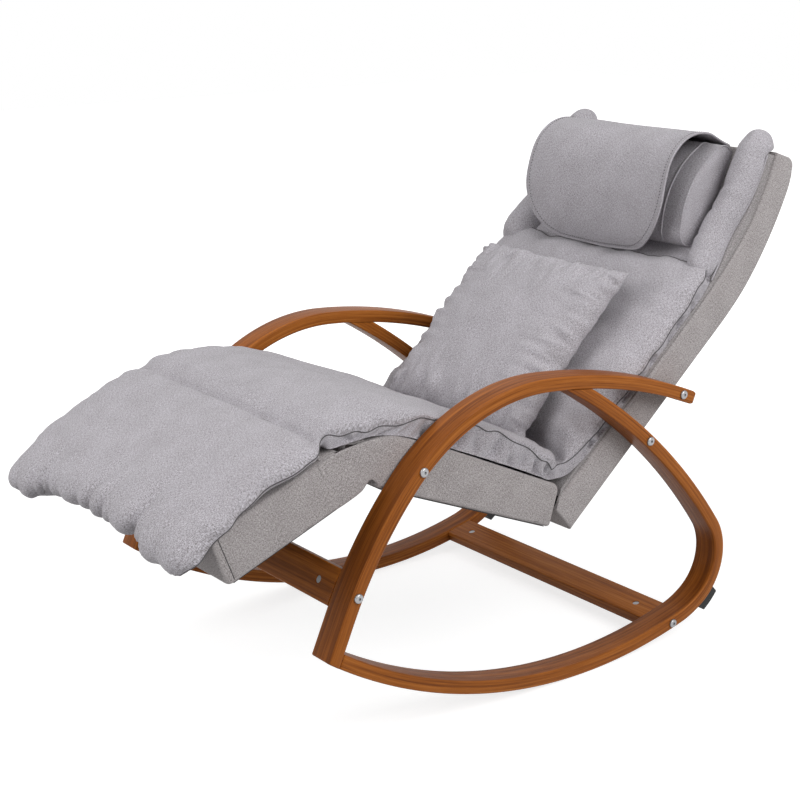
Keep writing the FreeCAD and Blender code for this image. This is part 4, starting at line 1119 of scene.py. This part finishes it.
left_roll = roll(
    "left_roll", 1, 51.0, (522.0, ROLL_TOP), lambda t: 242.0 - 12.0 * bell((t - 628.0) / 75.0), 1.0
)
right_roll = roll(
    "right_roll", -1, 57.0, (506.0, ROLL_TOP), lambda t: 231.0 - 19.0 * (t - 691.0) / 169.0, 14.0
)


def arc3(a, m, b, count):
    """Points on the round line from a over m towards b."""
    a, m, b = complex(*a), complex(*m), complex(*b)
    w = (b - a) / (m - a)
    centre = a + (m - a) * (w - abs(w) ** 2) / (2j * w.imag)
    sweep = np.angle((m - centre) / (a - centre)) + np.angle((b - centre) / (m - centre))
    made = centre + (a - centre) * np.exp(1j * sweep * np.linspace(0, 1, count, endpoint=False))
    return np.stack([made.real, made.imag], 1)


# Head pillow with a boxing strip between two welts at each end
PILLOW_ARCS = [
    ((-88, 82.3), (0, 76.8), (98, 83.8), 24),
    ((98, 83.8), (102, 104), (84, 124), 12),
    ((84, 124), (2, 151.5), (-80, 134), 26),
    ((-80, 134), (-101, 113), (-88, 82.3), 12),
]
pillow_line = np.roll(np.concatenate([arc3(*arc) for arc in PILLOW_ARCS]), -12, 0)
pillow_run = run_of(np.concatenate([pillow_line, pillow_line[:1]]))
PILLOW_MIDDLE = np.array([0.0, 111.75])
PILLOW_END, PILLOW_WELT = 188.0, 1.7
# Place across and size of the rings of one half, from the end to the middle
PILLOW_RINGS = [
    (196.6, 0.1), (196.4, 0.35), (195.6, 0.6), (194.2, 0.8), (192.4, 0.92), (190.6, 0.972), (189.2, 0.984),
    (182, 0.992), (167, 0.998), (150, 0.996), (146, 0.991), (144.5, 0.989), (143, 0.993), (130, 1.0),
    (80, 1.004),
]
pillow_rings = [(-x, size) for x, size in PILLOW_RINGS] + [(0, 1.004)] + PILLOW_RINGS[::-1]


def pillow_ring(x, size):
    ring = PILLOW_MIDDLE + (pillow_line - PILLOW_MIDDLE) * size
    y, z = in_head(ring[:, 0], ring[:, 1])
    return np.stack([0 * y + x, y, z], 1)


def pillow_quad(i, j):
    (x0, s0), (x1, s1) = pillow_rings[i], pillow_rings[i + 1]
    if min(abs(x0), abs(x1)) > PILLOW_END:
        w = (j + 1) % len(pillow_line)
        return [tuple(pillow_line[k] * s) for s, k in ((s0, j), (s1, j), (s1, w), (s0, w))]
    a, b = pillow_run[j], pillow_run[j + 1]
    return [(a, x0), (a, x1), (b, x1), (b, x0)]


pillow_cap = [tuple(p * 0.1) for p in pillow_line]
pillow_verts = np.concatenate([pillow_ring(x, size) for x, size in pillow_rings])
pillow_faces = loft(len(pillow_rings), len(pillow_line), pillow_quad, lambda i: pillow_cap)
WELTS = ((-190.4, 0.985), (-144.5, 0.998), (144.5, 0.998), (190.4, 0.985))
welts = [tube(pillow_ring(x, size), PILLOW_WELT) for x, size in WELTS]
head_pad = shape("head_pad", merged((pillow_verts, *pillow_faces), *welts), linen)

# Head flap
FLAP_HALF, FLAP_SHIFT, FLAP_CORNER, FLAP_TAPER = 184.0, -9.0, 102.0, 0.13
FLAP_T, FLAP_U, FLAP_V = 3.4, 110, 90


def flap_drop(x):
    """How much shorter the flap is at a place across it: a full hem with round corners."""
    past = np.maximum(np.abs(x) - (FLAP_HALF - FLAP_CORNER), 0.0)
    return 14.0 * (x / FLAP_HALF) ** 2 + FLAP_CORNER - np.sqrt(np.maximum(FLAP_CORNER**2 - past**2, 0.0))


def flap_wave(d, x):
    """Slack of the cloth: it stands off at the bend and at the near edge."""
    bend = 2.0 + 6.0 * np.clip(x / FLAP_HALF, 0, 1) ** 2 - 3.0 * np.clip(-x / FLAP_HALF, 0, 1) ** 2
    bend = bend * bell((d - 165.0) / 70.0)
    near = 6.0 * np.clip((x - 90.0) / 88.0, 0, 1) ** 2 * np.clip((d - 180.0) / 150.0, 0, 1)
    far = 4.0 * bell((x + 110.0) / 60.0) * bell((d - 200.0) / 80.0)
    soft = rumple(np.stack([d, x, 0 * x], 2), 75.0, 2.0, 3.0) * eased((d - 40.0) / 80.0)
    return bend + near + far + soft


def on_flap(d, x, out):
    """Points of the flap at a height over its middle."""
    y, z = along(flap_path, d, -2.1 - out - flap_wave(d, x))
    return np.stack([x + FLAP_SHIFT, y, z], 2)


flap_v = np.sin(np.linspace(-math.pi / 2, math.pi / 2, FLAP_V))[None, :]
flap_s = np.linspace(0, 1, FLAP_U)[:, None]
flap_x = FLAP_HALF * flap_v * (1 - FLAP_TAPER * (1 - eased(flap_s / 0.42)))
flap_d = flap_s * (FLAP_LENGTH - flap_drop(flap_x))
thin = FLAP_T / 2 * (1 - 0.55 * np.maximum(np.abs(flap_v) ** 60, flap_s**60))
flap_patch = pair(on_flap(flap_d, flap_x, thin), on_flap(flap_d, flap_x, -thin))


def flap_edge(depth, out, start=48.0):
    """A line along the free edges of the flap, a depth inside them."""
    half = FLAP_HALF - depth
    x = half * np.sin(np.linspace(-math.pi / 2, math.pi / 2, 160))
    d = FLAP_LENGTH - flap_drop(x * FLAP_HALF / half) - depth
    side = np.arange(start, d[0], 3.0)
    wide = half * (1 - FLAP_TAPER * (1 - eased(side / d[0] / 0.42)))
    x = np.concatenate([-wide, x, wide[::-1]])
    d = np.concatenate([side, d, side[::-1]])
    return on_flap(d[:, None], x[:, None], out)[:, 0]


flap = shape("head_flap_cloth", merged(flap_patch, tube(flap_edge(0.4, 0.3, 4.0), 2.3)), linen)
# The stitches are drawn dark: painted shade of the needle holes along the hem
hem_line = flap_edge(7.5, FLAP_T / 2 + 0.2)
flap_thread = shape("head_flap_stitching", stitches(hem_line, 5.6, 0.6, 0.95), thread_and_seam_shade)

# Linings, webbing and foam


def hung(spot, s0, s1, half, n0, n1, drop, thick):
    """A tight cloth across the chair that sags by the drop."""
    s, x = np.meshgrid(np.linspace(s0, s1, 20), np.linspace(-half, half, 40), indexing="ij")
    k = (s - s0) / (s1 - s0)
    n = n0 + (n1 - n0) * k - drop * (1 - (x / half) ** 2) * 4 * k * (1 - k)
    y, z = spot(s, n)
    y_low, z_low = spot(s, n - thick)
    return pair(np.stack([x, y, z], 2), np.stack([x, y_low, z_low], 2))


LINING = (1.2, 1.2)
seat_cloth = shape("seat_bottom_cloth", hung(in_seat, 42, 426, 276, -23.0, -17.4, *LINING), lining_cloth)
leg_cloth = shape("legrest_bottom_cloth", hung(in_leg, -272, -55, 273, -31.3, -31.3, *LINING), lining_cloth)
STRAPS, STRAP_WIDTH, STRAP_HALF, STRAP_N, STRAP = 5, 40.0, 271.0, 34.9, (0.6, 1.6)
strap_rows = np.linspace(65.0, 358.0, STRAPS)
strap_patches = [
    hung(in_seat, s, s + STRAP_WIDTH, STRAP_HALF, STRAP_N, STRAP_N, *STRAP) for s in strap_rows
]
straps = shape("seat_webbing", merged(*strap_patches), finishes["webbing"])


def foam_block(name, node, body):
    """The block with rounded edges."""
    o = softened(name, node, finishes["foam"], lambda e: True, 0.004, 3)
    finish_piece(o, body, "foam", node)


foam_block("seat_foam_block", "seat_foam", "chair")
foam_block("legrest_foam_block", "legrest_foam", "legrest")

# Bodies of the pieces, and the nodes that they replace
for piece, body, fill, replaced in (
    (lumbar, "lumbar_pillow", 0.65, "lumbar_pillow"),
    (left_roll, "chair", 0.7, "left_bolster"),
    (right_roll, "chair", 0.7, "right_bolster"),
    (head_pad, "chair", 0.9, "head_pillow"),
):
    finish_piece(piece, body, "cushion_fabric", replaced)
finish_piece(mat, None, "cushion_fabric", "leg_cushion", "seat_cushion", "back_cushion")
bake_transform(mat)
finish_piece(knee, None, "cover_fabric")
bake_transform(knee)
finish_piece(pleat, None, "cover_fabric")
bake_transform(pleat)
finish_piece(flap, "head_flap", "cushion_fabric", "head_flap")
finish_piece(flap_thread, "head_flap", "cushion_fabric")
finish_piece(seat_cloth, "chair", "lining", "seat_lining")
finish_piece(leg_cloth, "legrest", "lining", "legrest_lining")
finish_piece(straps, "chair", "webbing", "seat_straps")

# Camera, light and floor
CAMERA_AT, CAMERA_AIM, LENS, SENSOR = (2.184, -1.740, 1.262), (0, -0.038, 0.457), 72.475, 36.0


def aimed(name, data, where, target):
    """A camera or lamp at a place, turned to a point."""
    o = linked(name, data)
    o.location = where
    o.rotation_euler = (Vector(target) - o.location).to_track_quat("-Z", "Y").to_euler()
    return o


def lamp(name, where, target, power, size):
    data = bpy.data.lights.new(name, "AREA")
    data.energy = power
    data.size = size
    aimed(name, data, where, target)


scene.camera = aimed("camera", bpy.data.cameras.new("camera"), CAMERA_AT, CAMERA_AIM)
scene.camera.data.lens = LENS
scene.camera.data.sensor_width = SENSOR
scene.view_settings.view_transform = "Standard"
lamp("key", (-0.6, -2.75, 2.2), (0, 0, 0.4), 55.0, 2.2)
lamp("fill", (2.8, 0.5, 2.3), (0, 0.1, 0.5), 70.0, 2.2)
lamp("top", (0.4, 0.6, 3.6), (0, 0.1, 0.4), 18.0, 2.4)


def seen_directly(tree):
    """One for rays that show the background itself."""
    path = add(tree, "LightPath")
    direct = math_node(tree, "MAXIMUM", path.outputs["Is Camera Ray"], path.outputs["Is Glossy Ray"])
    return math_node(tree, "MAXIMUM", direct, path.outputs["Is Transmission Ray"])


world = bpy.data.worlds.new("studio")
scene.world = world
world.use_nodes = True
tree = world.node_tree
tree.nodes.clear()
soft = add(tree, "Background", {"Color": (1, 1, 1, 1), "Strength": 0.4})
white = add(tree, "Background", {"Color": (1, 1, 1, 1), "Strength": 1.0})
mixed = add(tree, "MixShader", {0: seen_directly(tree), 1: soft.outputs[0], 2: white.outputs[0]})
add(tree, "OutputWorld", {"Surface": mixed.outputs[0]})

FLOOR_REACH, FLOOR_Z = 9.0, -0.0006
floor_mesh = bpy.data.meshes.new("floor")
floor_corners = [(x * FLOOR_REACH, y * FLOOR_REACH, 0) for x, y in ((-1, -1), (1, -1), (1, 1), (-1, 1))]
floor_mesh.from_pydata(floor_corners, [], [[0, 1, 2, 3]])
floor = linked("floor", floor_mesh)
floor.location.z = FLOOR_Z
floor_finish, tree, shader = material("floor", Roughness=0.9)
shader.inputs["Base Color"].default_value = (0.45, 0.45, 0.45, 1)
spot = add(tree, "TexCoord").outputs["Object"]
far = add(tree, "VectorMath", {0: spot}, operation="LENGTH").outputs["Value"]
fade = {0: far, 1: 0.8, 2: 2.4, 3: 0.75, 4: 1.0}
glow = add(tree, "MapRange", fade, interpolation_type="SMOOTHSTEP").outputs[0]
shader.inputs["Emission Color"].default_value = (1, 1, 1, 1)
tree.links.new(math_node(tree, "MULTIPLY", seen_directly(tree), glow), shader.inputs["Emission Strength"])
floor_mesh.materials.append(floor_finish)
